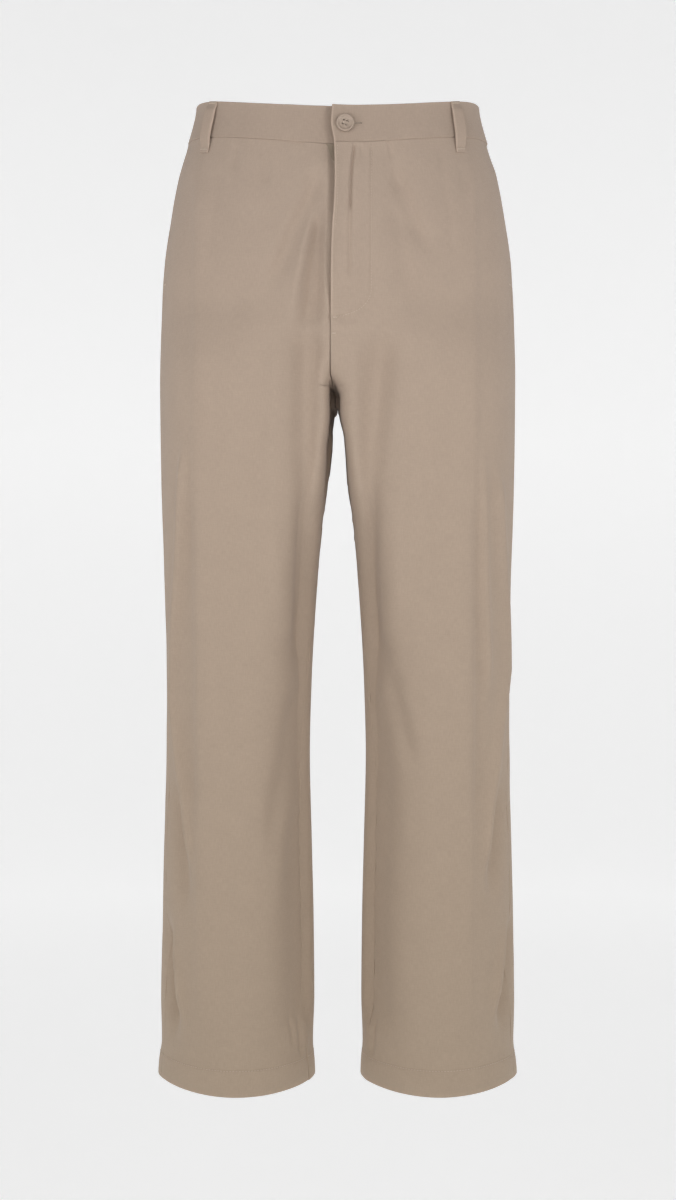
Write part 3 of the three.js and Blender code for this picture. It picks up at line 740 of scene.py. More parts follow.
def twill_material(name, colour, look):
    """Cotton twill: diagonal ribs of yarn, uneven slubs, soft nap, and rubbed edges painted
    lighter, partly as highlight.

    It is painted a little warmer towards the hems, standing in for warm light from below.
    """
    n = Nodes(name)
    coordinate = n.add("TexCoord").outputs["UV"]
    split = n.add("SeparateXYZ")
    n.link(coordinate, split.inputs[0])
    u, v = split.outputs["X"], split.outputs["Y"]
    slub = n.noise(n.stretch(coordinate, (1, 0.16, 1)), 900, 1.0)
    slub_across = n.noise(n.stretch(coordinate, (0.16, 1, 1)), 900, 1.0)
    patches = n.noise(coordinate, 38, 3.0, 0.6)
    fuzz = n.noise(coordinate, 2600, 1.0)
    # The ribs climb at a steep angle, one to each pitch across the cloth.
    turn = 2 * math.pi / look.rib_pitch
    slant = n.math("MULTIPLY_ADD", v, 0.62, u)
    wander = n.math("MULTIPLY_ADD", patches, look.rib_pitch * 1.2, slant)
    rib = n.math("SINE", n.math("MULTIPLY", wander, turn))
    yarn = n.math("SINE", n.math("MULTIPLY", v, turn * 1.7))
    weave = n.math("MULTIPLY_ADD", yarn, 0.35, rib)
    height = n.math("MULTIPLY_ADD", fuzz, 0.8, weave)
    bump = n.bump(height, look.rib_height, 0.55)
    bump = n.bump(n.math("ADD", slub, slub_across), look.rib_height * 2.0, 0.35, bump)
    shade = n.ramp(weave, -1.35, 1.35, 0.965, 1.025)
    shade = n.math("MULTIPLY", shade, n.ramp(slub, 0.3, 0.7, 0.972, 1.028))
    shade = n.math("MULTIPLY", shade, n.ramp(slub_across, 0.3, 0.7, 0.98, 1.02))
    shade = n.math("MULTIPLY", shade, n.ramp(patches, 0.3, 0.7, 0.985, 1.015))
    # Rubbed edges painted lighter: real wear, and a painted highlight along folded edges.
    wear_and_highlight = n.add("Attribute", attribute_name="wear_and_highlight").outputs["Fac"]
    shade = n.math("MULTIPLY", shade, n.ramp(wear_and_highlight, 0, 1, 1.0, 1.0 + look.edge_wear_and_highlight))
    # Painted warm light from below: the blue falls off towards the hems.
    place = n.add("SeparateXYZ")
    n.link(n.add("TexCoord").outputs["Object"], place.inputs[0])
    tone = n.add("CombineXYZ")
    n.feed(tone, {"X": 1.0, "Y": 1.0, "Z": n.ramp(place.outputs["Z"], -1.0, -0.1, 0.955, 1.02)})
    dye_and_painted_warmth = n.add("VectorMath", operation="MULTIPLY")
    n.feed(dye_and_painted_warmth, {0: n.tint(srgb(colour), shade), 1: tone.outputs["Vector"]})
    n.feed(n.shader, {
        "Base Color": dye_and_painted_warmth.outputs["Vector"],
        "Roughness": n.ramp(slub, 0.2, 0.8, 0.86, 0.95),
        "Normal": bump,
        "Specular IOR Level": 0.22,
        "Sheen Weight": look.nap,
        "Sheen Roughness": 0.55,
    })
    return n.material


def plain_weave_material(name, colour, pitch, roughness=0.92):
    """Plain weave for pocketing and tape: a fine over-and-under grid."""
    n = Nodes(name)
    coordinate = n.add("TexCoord").outputs["Object"]
    split = n.add("SeparateXYZ")
    n.link(coordinate, split.inputs[0])
    turn = 2 * math.pi / pitch
    warp = n.math("SINE", n.math("MULTIPLY", split.outputs["X"], turn))
    weft = n.math("SINE", n.math("MULTIPLY", split.outputs["Z"], turn))
    grid = n.math("MULTIPLY", warp, weft)
    cloud = n.noise(coordinate, 60, 3.0)
    shade = n.math("MULTIPLY", n.ramp(grid, -1, 1, 0.95, 1.03), n.ramp(cloud, 0.3, 0.7, 0.97, 1.03))
    n.feed(n.shader, {
        "Base Color": n.tint(srgb(colour), shade),
        "Roughness": roughness,
        "Normal": n.bump(grid, pitch * 0.2, 0.5),
        "Sheen Weight": 0.08,
        "Sheen Roughness": 0.5,
    })
    return n.material


def thread_material(name, colour):
    """Spun polyester sewing thread, a little brighter than the cloth, with its twist."""
    n = Nodes(name)
    coordinate = n.add("TexCoord").outputs["Object"]
    turned = n.add("Mapping")
    turned.inputs["Rotation"].default_value = (0.5, 0.6, 0.7)
    n.link(coordinate, turned.inputs["Vector"])
    wave = n.add("TexWave", wave_type="BANDS")
    n.feed(wave, {"Vector": turned.outputs["Vector"], "Scale": 900.0, "Distortion": 1.0})
    twist = wave.outputs["Fac"]
    n.feed(n.shader, {
        "Base Color": n.tint(srgb(colour), n.ramp(twist, 0, 1, 0.93, 1.04)),
        "Roughness": 0.6,
        "Normal": n.bump(twist, 0.00005, 0.6),
        "Sheen Weight": 0.15,
    })
    return n.material


def button_material(name, colour):
    """Matte dyed resin with a faint cloud in it."""
    n = Nodes(name)
    coordinate = n.add("TexCoord").outputs["Object"]
    cloud = n.noise(coordinate, 420, 4.0, 0.6)
    fine = n.noise(coordinate, 3200, 2.0)
    n.feed(n.shader, {
        "Base Color": n.tint(srgb(colour), n.ramp(cloud, 0.3, 0.7, 0.94, 1.06)),
        "Roughness": n.ramp(fine, 0.3, 0.7, 0.42, 0.54),
        "Normal": n.bump(fine, 0.00002, 0.5),
        "Coat Weight": 0.1,
        "Coat Roughness": 0.35,
    })
    return n.material


def slit_shadow_material(name, colour):
    """Painted shadow: the dark, shaded inside of the buttonhole."""
    n = Nodes(name)
    shade = n.noise(n.add("TexCoord").outputs["Object"], 900)
    n.feed(n.shader, {
        "Base Color": n.tint(srgb(colour), n.ramp(shade, 0.3, 0.7, 0.9, 1.1)),
        "Roughness": 0.9,
    })
    return n.material


def stage_material(name, colour, glow_front, glow_back):
    """Pale matte paper, lit evenly from behind where it faces the front of the garment."""
    n = Nodes(name)
    coordinate = n.add("TexCoord").outputs["Object"]
    place = n.add("SeparateXYZ")
    n.link(coordinate, place.inputs[0])
    cloud = n.noise(coordinate, 1.3, 2.0)
    tone = n.tint(srgb(colour), n.ramp(cloud, 0.3, 0.7, 0.996, 1.004))
    n.feed(n.shader, {
        "Base Color": tone,
        "Roughness": 0.9,
        "Specular IOR Level": 0.1,
        "Emission Color": (1, 1, 1, 1),
        "Emission Strength": n.ramp(place.outputs["Y"], -1.5, 0.9, glow_front, glow_back),
    })
    return n.material


# ------------------------------------------------------------------ panels
def levels(*stretches):
    """Levels of a sheet's rows: from, to and about how far apart, from the top down."""
    made = []
    for top, bottom, step in stretches:
        count = max(1, round((top - bottom) / step))
        made.extend(np.linspace(top, bottom, count, endpoint=False))
    made.append(stretches[-1][1])
    return np.array(made, float)


PANEL_TOP = WAIST_SEAM - SEAM_GAP
PANEL_LEVELS = np.concatenate([
    PANEL_TOP - EDGE_STEPS[:-1],
    levels(
        (PANEL_TOP - EDGE_STEPS[-1], -110, 2.3),
        (-110, -268, 3.4),
        (-268, -305, 1.05),
        (-305, -440, 2.8),
        (-440, HEM + HEM_DEPTH + 3, 4.2),
        (HEM + HEM_DEPTH + 3, HEM + HEM_DEPTH - 3, 0.75),
        (HEM + HEM_DEPTH - 3, HEM + EDGE_STEPS[-1], 3.2),
    ),
    HEM + EDGE_STEPS[-2::-1],
])
# Columns of a panel: from the side seam to the fine stretch, in the fine stretch before the
# leg's innermost corner, and from the corner to the centre seam or the inseam.
PANEL_COLUMNS = {"front": (38, 36, 44), "back": (54, 16, 40)}
FINE_STRETCH = 46
CORNER_STRETCH = 20         # the leg's corner, measured across from its innermost point
CORNER_EASE = 1.3           # the last stretch starts finer than it ends


def centre_angle(ring, face):
    """Angle of the centre seam on a leg's section."""
    split = ring[f"{face}_split"]
    power = ring["inner_front" if face == "front" else "inner"]
    return np.arctan2(rest_of(split, power), -split)


def seam_angle(ring, forward, on_inseam):
    """Angle of a seam that lies forward of the leg's widest line."""
    power = ring["inner_front"] if on_inseam else ring["outer"]
    share = forward / ring["front"]
    angle = np.arctan2(share, rest_of(share, power))
    return np.pi - angle if on_inseam else angle


def panel_span(ring, face):
    """First and last angle of a panel, from the side seam to the centre or the inseam."""
    side = seam_angle(ring, column(SEAMS, "side", ring["z"]), False)
    inseam = seam_angle(ring, column(SEAMS, "inseam", ring["z"]), True)
    centre = centre_angle(ring, face)
    if face == "front":
        return side, np.where(ring["z"] >= FORK, centre, inseam)
    return side, np.where(ring["z"] >= FORK, -centre, inseam - 2 * np.pi)


def walk(half, ring, start, end):
    """Angles, distances and places across along rings from start to end."""
    angle = start + (end - start) * np.linspace(0, 1, WALK_STEPS + 1)
    x, y = ring_point(half, ring, angle)
    steps = np.hypot(np.diff(x, axis=1), np.diff(y, axis=1))
    length = np.concatenate([np.zeros((len(x), 1)), np.cumsum(steps, axis=1)], axis=1)
    return angle, length, x


def laid_rows(angle, length, distance):
    """Angles at distances along each ring."""
    return np.array([np.interp(d, l, a) for a, l, d in zip(angle, length, distance)])


def panel_layout(half, face):
    """Where each point of a panel lies: its ring, angle and distances from its edges."""
    z = PANEL_LEVELS[:, None]
    ring = ring_at(z)
    start, end = panel_span(ring, face)
    angle, length, x = walk(half, ring, start, end)
    total = length[:, -1:]
    inset = x.min(axis=1) + CORNER_STRETCH
    corner = np.array([[np.interp(-i, -row, l)] for i, row, l in zip(inset, x, length)])
    corner = np.minimum(corner, total - CORNER_STRETCH)
    margin = SEAM_GAP + EDGE_STEPS
    near = np.broadcast_to(margin, (len(z), len(margin)))
    ends = (margin[-1] + 0 * total, corner - FINE_STRETCH, corner, total - margin[-1])
    counts = PANEL_COLUMNS[face]
    stretches = [
        low + (high - low) * np.linspace(0, 1, count, endpoint=False) ** ease
        for low, high, count, ease in zip(ends, ends[1:], counts, (1, 1, CORNER_EASE))
    ]
    stretches[0] = stretches[0][:, 1:]
    distance = np.concatenate([near, *stretches, total - near[:, ::-1]], axis=1)
    return {
        "half": half, "face": face, "ring": ring, "z": z,
        "angle": laid_rows(angle, length, distance),
        "from_side": distance - SEAM_GAP,
        "from_centre": total - distance - SEAM_GAP,
        "total": total,
    }


HEM_RISE = 0.3              # the turned-up hem stands out this far
LEG_PUCKERS_FADE = 60


def panel_relief(sheet, point):
    """Lift of the outer face of a panel above the form: folds, seams, puckers and hem."""
    z, side, centre = sheet["z"], sheet["from_side"], sheet["from_centre"]
    seed = PANEL_SEEDS[sheet["face"]] + (sheet["half"] > 0)
    lift = cloth_lift(sheet["ring"], point)
    below_waist, above_hem = PANEL_TOP - z, z - HEM
    for ripples in WAIST_PUCKERS:
        lift += puckers(below_waist, side, *ripples, seed)
    # The hem is turned up and topstitched: it ripples on both sides of its stitches.
    for ripples in HEM_PUCKERS:
        lift += puckers(np.abs(above_hem - HEM_DEPTH), side, *ripples, seed)
    lift += HEM_RISE * smooth((HEM_DEPTH + 1 - above_hem) / 4)
    # Seams draw the cloth in a little unevenly.
    on_leg = smooth((FORK + 10 - z) / LEG_PUCKERS_FADE)
    lift += puckers(centre, z, *LEG_PUCKERS, seed) * on_leg
    lift += puckers(side, z, *SIDE_PUCKERS, seed)
    lift -= edge_roll(side, SEAM_ROLL)
    lift -= edge_roll(below_waist, SEAM_ROLL)
    lift -= edge_roll(above_hem, HEM_ROLL)
    return lift


def cut_area(width, z):
    """Flat area in square metres of a piece with these widths at these levels."""
    width, z = width[:, 0] * MM, z[:, 0] * MM
    return float(np.sum((width[1:] + width[:-1]) / 2 * (z[:-1] - z[1:])))


def fly_zone(z):
    """1 along the open part of the fly, 0 below it."""
    return smooth((z - FLY_END) / FLY_FADE + 0.5)


def stands_off(z):
    """1 where the lapped edge stands off, dying out towards the end of the fly."""
    return smooth((z - FLY_CLOSES) / FLY_TAPER)


def hump(distance, at=0.9, width=0.9):
    """A smooth hump from 0 to 1 and back. The usual one is the wear and painted highlight just
    inside an edge.
    """
    return np.exp(-((distance - at) / width) ** 2)


ALLOWANCE_EDGE = 1.4        # where the allowance ends, as a share of its width and its fade
FLY_FACED = 60              # within this of the fly the facing takes the allowance's place
HEM_WEAR = 0.5
HEM_WEAR_REACH = 2.0


def panel_wall(sheet, on_fly):
    """Thickness of a panel: cloth, pressed-open allowances and the turned-up hem."""
    side, centre = sheet["from_side"], sheet["from_centre"]
    allowances = smooth(ALLOWANCE_EDGE - side / ALLOWANCE)
    allowances += smooth(ALLOWANCE_EDGE - centre / ALLOWANCE)
    wall = np.full(centre.shape, wall_of("cloth"))
    wall += ALLOWANCE_WALL * allowances * (1 - on_fly * (centre < FLY_FACED))
    hem = smooth((HEM + HEM_DEPTH + 2 - sheet["z"]) / 1.5)
    return wall * (1 - hem) + wall_of("hem") * hem


def lap_left_front(sheet, point, on_fly, lift, wall, wear_and_highlight):
    """Makes the left front's edge stand off, with its facing behind it and its rubbed fold painted
    lighter as a highlight.
    """
    z, centre = sheet["z"], sheet["from_centre"]
    edge = edge_roll(centre, FLY_ROLL)
    lift += FLY_LIFT * stands_off(z) * np.exp(-centre / FLY_LIFT_REACH) - edge * on_fly
    lift -= edge_roll(centre, FRONT_ROLL) * (1 - on_fly)
    lift += fly_facing_relief(point) * on_fly
    facing = on_fly * smooth((FLY_WIDTH - centre) / FACING_FADE)
    wall += (2 * wall_of("cloth") - wall) * facing
    wall -= 2 * edge * on_fly
    # Painted highlight and wear along the lapped fold.
    wear_and_highlight += on_fly * hump(centre)


def sink_right_front(sheet, on_fly, lift):
    """Sinks the right front under the lapped edge, with a bank beside it."""
    z, centre = sheet["z"], sheet["from_centre"]
    bank = FLY_BANK * hump(centre, 1.5 * FLY_BANK_WIDTH, FLY_BANK_WIDTH)
    narrow = FLY_RECESS_NARROW + (1 - FLY_RECESS_NARROW) * stands_off(z)
    recess = FLY_RECESS * smooth(1.5 - centre / (FLY_RECESS_WIDTH * narrow))
    lift += bank * stands_off(z) - recess * smooth((z - FLY_END) / FLY_RECESS_FADE + 1)
    # At the waist seam it follows the end of the band that runs under the lap.
    at_band = smooth((z - PANEL_TOP) / FLY_FOLLOWS + 1)
    lift -= (bank + FLY_RECESS * smooth(1 - centre / LAP_RAMP)) * at_band
    lift -= edge_roll(centre, FRONT_ROLL) * (1 - on_fly)


def make_panel(half, face):
    """One leg panel, waist seam to hem, as a closed sheet."""
    sheet = panel_layout(half, face)
    z, ring, angle, centre = (sheet[key] for key in ("z", "ring", "angle", "from_centre"))
    on_fly = fly_zone(z) if face == "front" else 0 * z
    if face == "front" and half < 0:
        # The right front runs on a little way under the lapped edge.
        slide = FLY_LAP * on_fly * smooth(1 - centre / FLY_LAP_REACH)
        angle = angle + slide / np.maximum(ring["half_width"] - ring["gap"], 1)
    point = form_point(half, ring, angle)
    normal = form_normal(half, z, angle)
    lift = panel_relief(sheet, point)
    wall = panel_wall(sheet, on_fly)
    wear_and_highlight = HEM_WEAR * np.exp(-(z - HEM) / HEM_WEAR_REACH) * np.ones(lift.shape)
    if face == "back":
        lift -= edge_roll(centre, SEAM_ROLL)
    elif half > 0:
        lap_left_front(sheet, point, on_fly, lift, wall, wear_and_highlight)
    else:
        sink_right_front(sheet, on_fly, lift)
    outer = point + normal * lift[..., None]
    base = lift + edge_roll(sheet["from_side"], SEAM_ROLL) + edge_roll(PANEL_TOP - z, SEAM_ROLL)
    base += edge_roll(centre, FRONT_ROLL if face == "front" else SEAM_ROLL) * (1 - on_fly)
    base += 2 * edge_roll(z - HEM, HEM_ROLL)
    inner = point + normal * (base - wall)[..., None]
    side_name = "left" if half > 0 else "right"
    u = sheet["from_side"] + half * GRAIN_OFFSET
    piece = closed_sheet(f"{face}_{side_name}_cloth", outer, inner, u, -z, wear_and_highlight)
    sheet.update(outer=outer, normal=normal, piece=piece)
    sheet["flat"] = (float(sheet["total"].max()) * MM, (PANEL_TOP - HEM) * MM)
    sheet["area"] = cut_area(sheet["total"], z)
    return sheet


STITCH_SINK = 0.35          # the J stitching draws the cloth in this far
STITCH_SINK_WIDTH = 1.6
FACING_STEP = 0.25
FACING_STEP_WIDTH = 3


def fly_facing_relief(point):
    """The fly facing shows through as a soft step along its J-shaped stitching."""
    inside = j_line_x(point[..., 2]) - point[..., 0]
    sunk = STITCH_SINK * np.exp(-(inside / STITCH_SINK_WIDTH) ** 2)
    return FACING_STEP * smooth(inside / FACING_STEP_WIDTH) - sunk


J_STRAIGHT_X = 34
J_CURVE_TOP = -188
J_BOTTOM = -217
J_END_X = -5


def j_line_x(z):
    """x of the J stitching at a level."""
    t = clamp01((J_CURVE_TOP - np.asarray(z, float)) / (J_CURVE_TOP - J_BOTTOM))
    return J_END_X + (J_STRAIGHT_X - J_END_X) * np.sqrt(1 - t**2.2)


def wall_of(cloth):
    """Thickness in mm of a kind of cloth: cloth, hem, band or pocketing."""
    return getattr(bpy.context.scene.pants_cloth, cloth) / MM


PANELS = {}                 # the four panels by node, for the stitches


def unit(vectors):
    """Vectors of length 1 in the same directions."""
    return vectors / np.linalg.norm(vectors, axis=-1, keepdims=True)


def on_panel(sheet, x, z):
    """Points and normals of a panel's outer face at places [x, z] seen from the front."""
    outer = sheet["outer"]
    x, z = np.atleast_1d(np.asarray(x, float)), np.atleast_1d(np.asarray(z, float))
    points, normals = [], []
    flat = outer.reshape(-1, 3)
    for px, pz in zip(x, z):
        near = np.argmin((flat[:, 0] - px) ** 2 + (flat[:, 2] - pz) ** 2)
        i, j = np.unravel_index(near, outer.shape[:2])
        i = min(max(i, 1), outer.shape[0] - 2)
        j = min(max(j, 1), outer.shape[1] - 2)
        across = outer[i, j + 1] - outer[i, j - 1]
        down = outer[i + 1, j] - outer[i - 1, j]
        normal = np.cross(across, down)
        normal *= np.sign(normal @ sheet["normal"][i, j])
        normal /= np.linalg.norm(normal)
        start = outer[i, j]
        y = start[1] - (normal[0] * (px - start[0]) + normal[2] * (pz - start[2])) / normal[1]
        points.append((px, y, pz))
        normals.append(normal)
    return np.array(points), np.array(normals)


def nearest_row(levels_down, level):
    """Which of the rows lies nearest to a level."""
    return int(np.argmin(np.abs(levels_down - level)))


def row_path(sheet, level):
    """Points and normals along one level of a panel, without its rounded ends."""
    i = nearest_row(sheet["z"][:, 0], level)
    return sheet["outer"][i, 3:-3], sheet["normal"][i, 3:-3]


def side_path(sheet, level, start, stop):
    """Points and normals along one level, between two distances from the side seam."""
    i = nearest_row(sheet["z"][:, 0], level)
    at = np.linspace(start, stop, 8)
    points, normals = (
        np.stack([np.interp(at, sheet["from_side"][i], grid[i, :, k]) for k in range(3)], axis=1)
        for grid in (sheet["outer"], sheet["normal"])
    )
    return points, unit(normals)


def column_path(sheet, distance, top, bottom):
    """Points and normals down a panel at a distance from its centre edge."""
    rows = [i for i, z in enumerate(sheet["z"][:, 0]) if bottom <= z <= top]
    points, normals = [], []
    for i in rows:
        from_centre = sheet["from_centre"][i][::-1]
        for grid, made in ((sheet["outer"], points), (sheet["normal"], normals)):
            made.append([np.interp(distance, from_centre, grid[i, ::-1, k]) for k in range(3)])
    return np.array(points), unit(np.array(normals))


THREAD_RADIUS = 0.24
THREAD_SINK = 0.05          # how far a stitch sinks into the cloth
TACK_PITCH = 0.42
TACK_LEAN = 0.12
TACK_LIFT = 0.9             # as a share of the thread's radius


def along_path(path, pitch):
    """Evenly spaced places along a path: origin, along, across and out."""
    points, normals = path
    lengths = np.concatenate([[0], np.cumsum(np.linalg.norm(np.diff(points, axis=0), axis=1))])
    count = max(1, int(lengths[-1] / pitch))
    at = (np.arange(count) + 0.5) * pitch

    def between(grid, distance):
        return np.stack([np.interp(distance, lengths, grid[:, k]) for k in range(3)], axis=1)

    along = unit(between(points, at + pitch / 3) - between(points, at - pitch / 3))
    across = unit(np.cross(unit(between(normals, at)), along))
    return between(points, at), along, across, unit(np.cross(along, across))


def along_paths(paths, pitch):
    """The same, for several paths one after another."""
    sets = [along_path(path, pitch) for path in paths]
    return (np.concatenate(group) for group in zip(*sets))


def sew(name, bead, places):
    """Finishes many copies of one stitch as one piece."""
    finish_piece(copies(name, bead, places), "thread", "twill")


def stitch_line(name, paths, length=2.3, pitch=2.9, radius=THREAD_RADIUS):
    """A line of lockstitch along one or more paths, as one piece."""
    origin, along, across, out = along_paths(paths, pitch)
    origin = origin + out * (radius - THREAD_SINK)
    sew(name, thread_bead(length, radius), (origin, along, across, out))


def bartack(name, paths, width, pitch=TACK_PITCH, radius=THREAD_RADIUS):
    """Dense zigzag stitching along short paths, as one piece."""
    origin, along, across, out = along_paths(paths, pitch)
    lean = unit(across + TACK_LEAN * along)
    origin = origin + out * radius * TACK_LIFT
    sew(name, thread_bead(width, radius), (origin, lean, unit(np.cross(out, lean)), out))


# ------------------------------------------------------------------ waistband and loops
BAND_PROUD = 0.4            # its outer face stands off the form by this much
BAND_FACING = 1.5           # the band's inner layer reaches this far below the seam
LAP_LENGTH = 42             # the right end runs on this far under the left one
LAP_RAMP = 45               # length over which it sinks under it
LAP_LIFT = 4.4              # the lapped end stands off by this much
LAP_LIFT_REACH = 11
LAP_DIP = 1.6               # of the band beside the lapped end
LAP_DIP_WIDTH = 6
LAP_RAMP_STOP = 0.06
UNDERLAP_GAP = 0.3
BAND_COLUMNS = 470
BAND_RADIUS = 150           # about the waist's, for the columns at the band's ends
BAND_ROW = 3.0
BAND_SOFT_END = 20          # its ends lie even over this length
TURN_STEP = 0.02            # step over which the direction round the waist is measured
LOOP_TACK_WIDTH = 1.7


def band_angle(turn):
    """The half, and the angle on its section, at a turn round the waist from the centre front."""
    half = np.where(np.sin(turn) >= 0, 1.0, -1.0)
    return half, np.pi / 2 - half * np.arctan2(np.sin(turn), np.cos(turn))


def turn_at(x, on_back=False):
    """Turn round the waist at a place across it."""
    ring = ring_at(0.0)
    share = abs(x) / ring["half_width"]
    turn = np.sign(x) * np.arctan2(share, rest_of(share, ring["outer"]))
    return float(np.pi - turn if on_back else turn)


def band_form(turn, z):
    """Point and normal of the form at a turn round the waist."""
    turn, z = np.broadcast_arrays(np.asarray(turn, float), np.asarray(z, float))
    half, angle = band_angle(turn)
    return form_point(half, ring_at(z), angle), form_normal(half, z, angle)


def make_waistband():
    """A straight band whose left end laps over the right at the centre front."""
    wall = wall_of("band")
    lap_end = 2 * np.pi + turn_at(LAP_LENGTH)
    ramp_start, ramp_end = 2 * np.pi + turn_at(-LAP_RAMP), 2 * np.pi - LAP_RAMP_STOP
    even = np.linspace(0, lap_end, BAND_COLUMNS)
    close = EDGE_STEPS / BAND_RADIUS
    turn = np.unique(np.concatenate([close, even, lap_end - close]))[None]
    top, bottom = BAND_TOP, WAIST_SEAM + SEAM_GAP
    z = np.concatenate([
        top - EDGE_STEPS[:-1],
        levels((top - EDGE_STEPS[-1], bottom + EDGE_STEPS[-1], BAND_ROW)),
        bottom + EDGE_STEPS[-2::-1],
    ])[:, None]
    point, normal = band_form(turn, z)
    steps = np.linalg.norm(np.diff(point[len(z) // 2], axis=0), axis=1)
    u = np.concatenate([[0], np.cumsum(steps)])[None]
    under = (wall + UNDERLAP_GAP) * smooth((turn - ramp_start) / (ramp_end - ramp_start))
    from_top, from_seam = top - z, z - bottom
    from_end = np.minimum(u, u[:, -1:] - u)
    soft = uneven(BAND_UNEVEN, u, z) * smooth(from_end / BAND_SOFT_END)
    soft += sum(puckers(from_seam, u, *ripples) for ripples in BAND_PUCKERS)
    end_lift = LAP_LIFT * np.exp(-u / LAP_LIFT_REACH)
    beside = (2 * np.pi - turn) * ring_at(0.0)["half_width"]
    dip = LAP_DIP * np.exp(-((beside / LAP_DIP_WIDTH) ** 2))
    body = BAND_PROUD - under + soft + end_lift - dip
    round_top, round_end = edge_roll(from_top, wall / 2), edge_roll(from_end, wall / 2)
    edges = round_top + round_end + edge_roll(from_seam, SEAM_ROLL)
    hollow = np.minimum(round_top + round_end, wall / 2 - EDGE_LEFT)
    outer = point + normal * (body - np.minimum(edges, wall / 2 - EDGE_LEFT))[..., None]
    inner = point + normal * (body - wall + hollow)[..., None]
    inner[..., 2] -= BAND_FACING * smooth(1 - from_seam / 8)
    # Top fold and lapped end painted lighter: rubbed wear and a painted highlight.
    wear_and_highlight = 0.6 * hump(from_top, 0.6) + hump(u)
    piece = closed_sheet("waistband_cloth", outer, inner, u, z, clamp01(wear_and_highlight))
    return piece, (float(u.max()) * MM, (top - bottom) * MM)


def band_face(x):
    """Point, normal and sideways direction on the waistband's lapped end, halfway up."""
    turn = turn_at(x)
    point, normal = band_form([turn - TURN_STEP, turn, turn + TURN_STEP], 0.0)
    from_lap = turn * ring_at(0.0)["half_width"]
    lapped = LAP_LIFT * np.exp(-from_lap / LAP_LIFT_REACH)
    return point[1] + normal[1] * (BAND_PROUD + lapped), normal[1], unit(point[2] - point[0])


def make_loop(x, on_back, lean, name):
    """A belt loop: a folded strip, sewn flat at both ends and standing off between them."""
    size = bpy.context.scene.pants_trim
    width, wall = size.loop_width / MM, size.loop_wall / MM
    ends = np.array([z for z, _ in LOOP_PROFILE], float)
    offs = np.array([off for _, off in LOOP_PROFILE], float)
    off = np.interp(-LOOP_ROWS, -ends, offs)
    off = np.convolve(np.pad(off, 2, mode="edge"), np.ones(5) / 5, mode="valid")
    turn = turn_at(x, on_back) + lean * ((BAND_TOP - LOOP_ROWS) / LOOP_HEIGHT - 0.5)
    middle, normal = band_form(turn, LOOP_ROWS)
    right, left = (band_form(turn + step, LOOP_ROWS)[0] for step in (-TURN_STEP, TURN_STEP))
    sideways = unit(left - right)
    across = np.concatenate([-width / 2 + LOOP_EDGE, (width / 2 - LOOP_EDGE)[-2::-1]])[None]
    from_edge = width / 2 - np.abs(across)
    from_end = np.minimum(LOOP_TOP - LOOP_ROWS, LOOP_ROWS - LOOP_END)[:, None]
    round_edge = edge_roll(from_edge, wall / 2)
    round_edge = np.minimum(round_edge + edge_roll(from_end, wall / 2), wall / 2 - EDGE_LEFT)
    z = LOOP_ROWS[:, None]
    soft = uneven(LOOP_UNEVEN, z, across, abs(int(x)))
    crown = LOOP_CROWN * np.cos(np.pi * across / width)
    place = middle[:, None] + sideways[:, None] * across[..., None]
    inward = 0.5 - np.sign(x) * across / width
    off = off[:, None] * (1 - LOOP_TILT * inward * (x != 0))
    outer = place + normal[:, None] * (off + wall + soft + crown - round_edge)[..., None]
    inner = place + normal[:, None] * (off + soft + round_edge)[..., None]
    # Painted highlight on the edge nearer the centre line, beside the dark gap under the loop.
    wear_and_highlight = hump(from_edge, 0.7, 0.8) * smooth(inward) + 0 * z
    piece = closed_sheet(name + "_cloth", outer, inner, across, -z, wear_and_highlight)
    tacks = []
    for level in LOOP_TACKS:
        i = nearest_row(LOOP_ROWS, level)
        tacks.append((outer[i, 4:-4], np.repeat(normal[i:i + 1], outer.shape[1] - 8, axis=0)))
    bartack(name + "_bartacks", tacks, LOOP_TACK_WIDTH)
    return piece, (width * MM, LOOP_CUT)


# ------------------------------------------------------------------ sizes and looks
class PantsCloth(bpy.types.PropertyGroup):
    """Thickness of each kind of cloth wall."""

    cloth: FloatProperty(
        name="Cloth", description="One layer of twill", default=0.0012, unit="LENGTH")
    hem: FloatProperty(
        name="Hem", description="Panel and turned-up hem together", default=0.0026, unit="LENGTH")
    band: FloatProperty(
        name="Waistband", description="Two layers and interfacing", default=0.0024, unit="LENGTH")
    pocketing: FloatProperty(
        name="Pocket bag", description="Both layers of a pocket bag", default=0.0016, unit="LENGTH")


class PantsTrim(bpy.types.PropertyGroup):
    """Sizes of the belt loops."""

    loop_width: FloatProperty(
        name="Loop width", description="Width of a belt loop", default=0.012, unit="LENGTH")
    loop_wall: FloatProperty(
        name="Loop wall", description="Thickness of a belt loop", default=0.0016, unit="LENGTH")


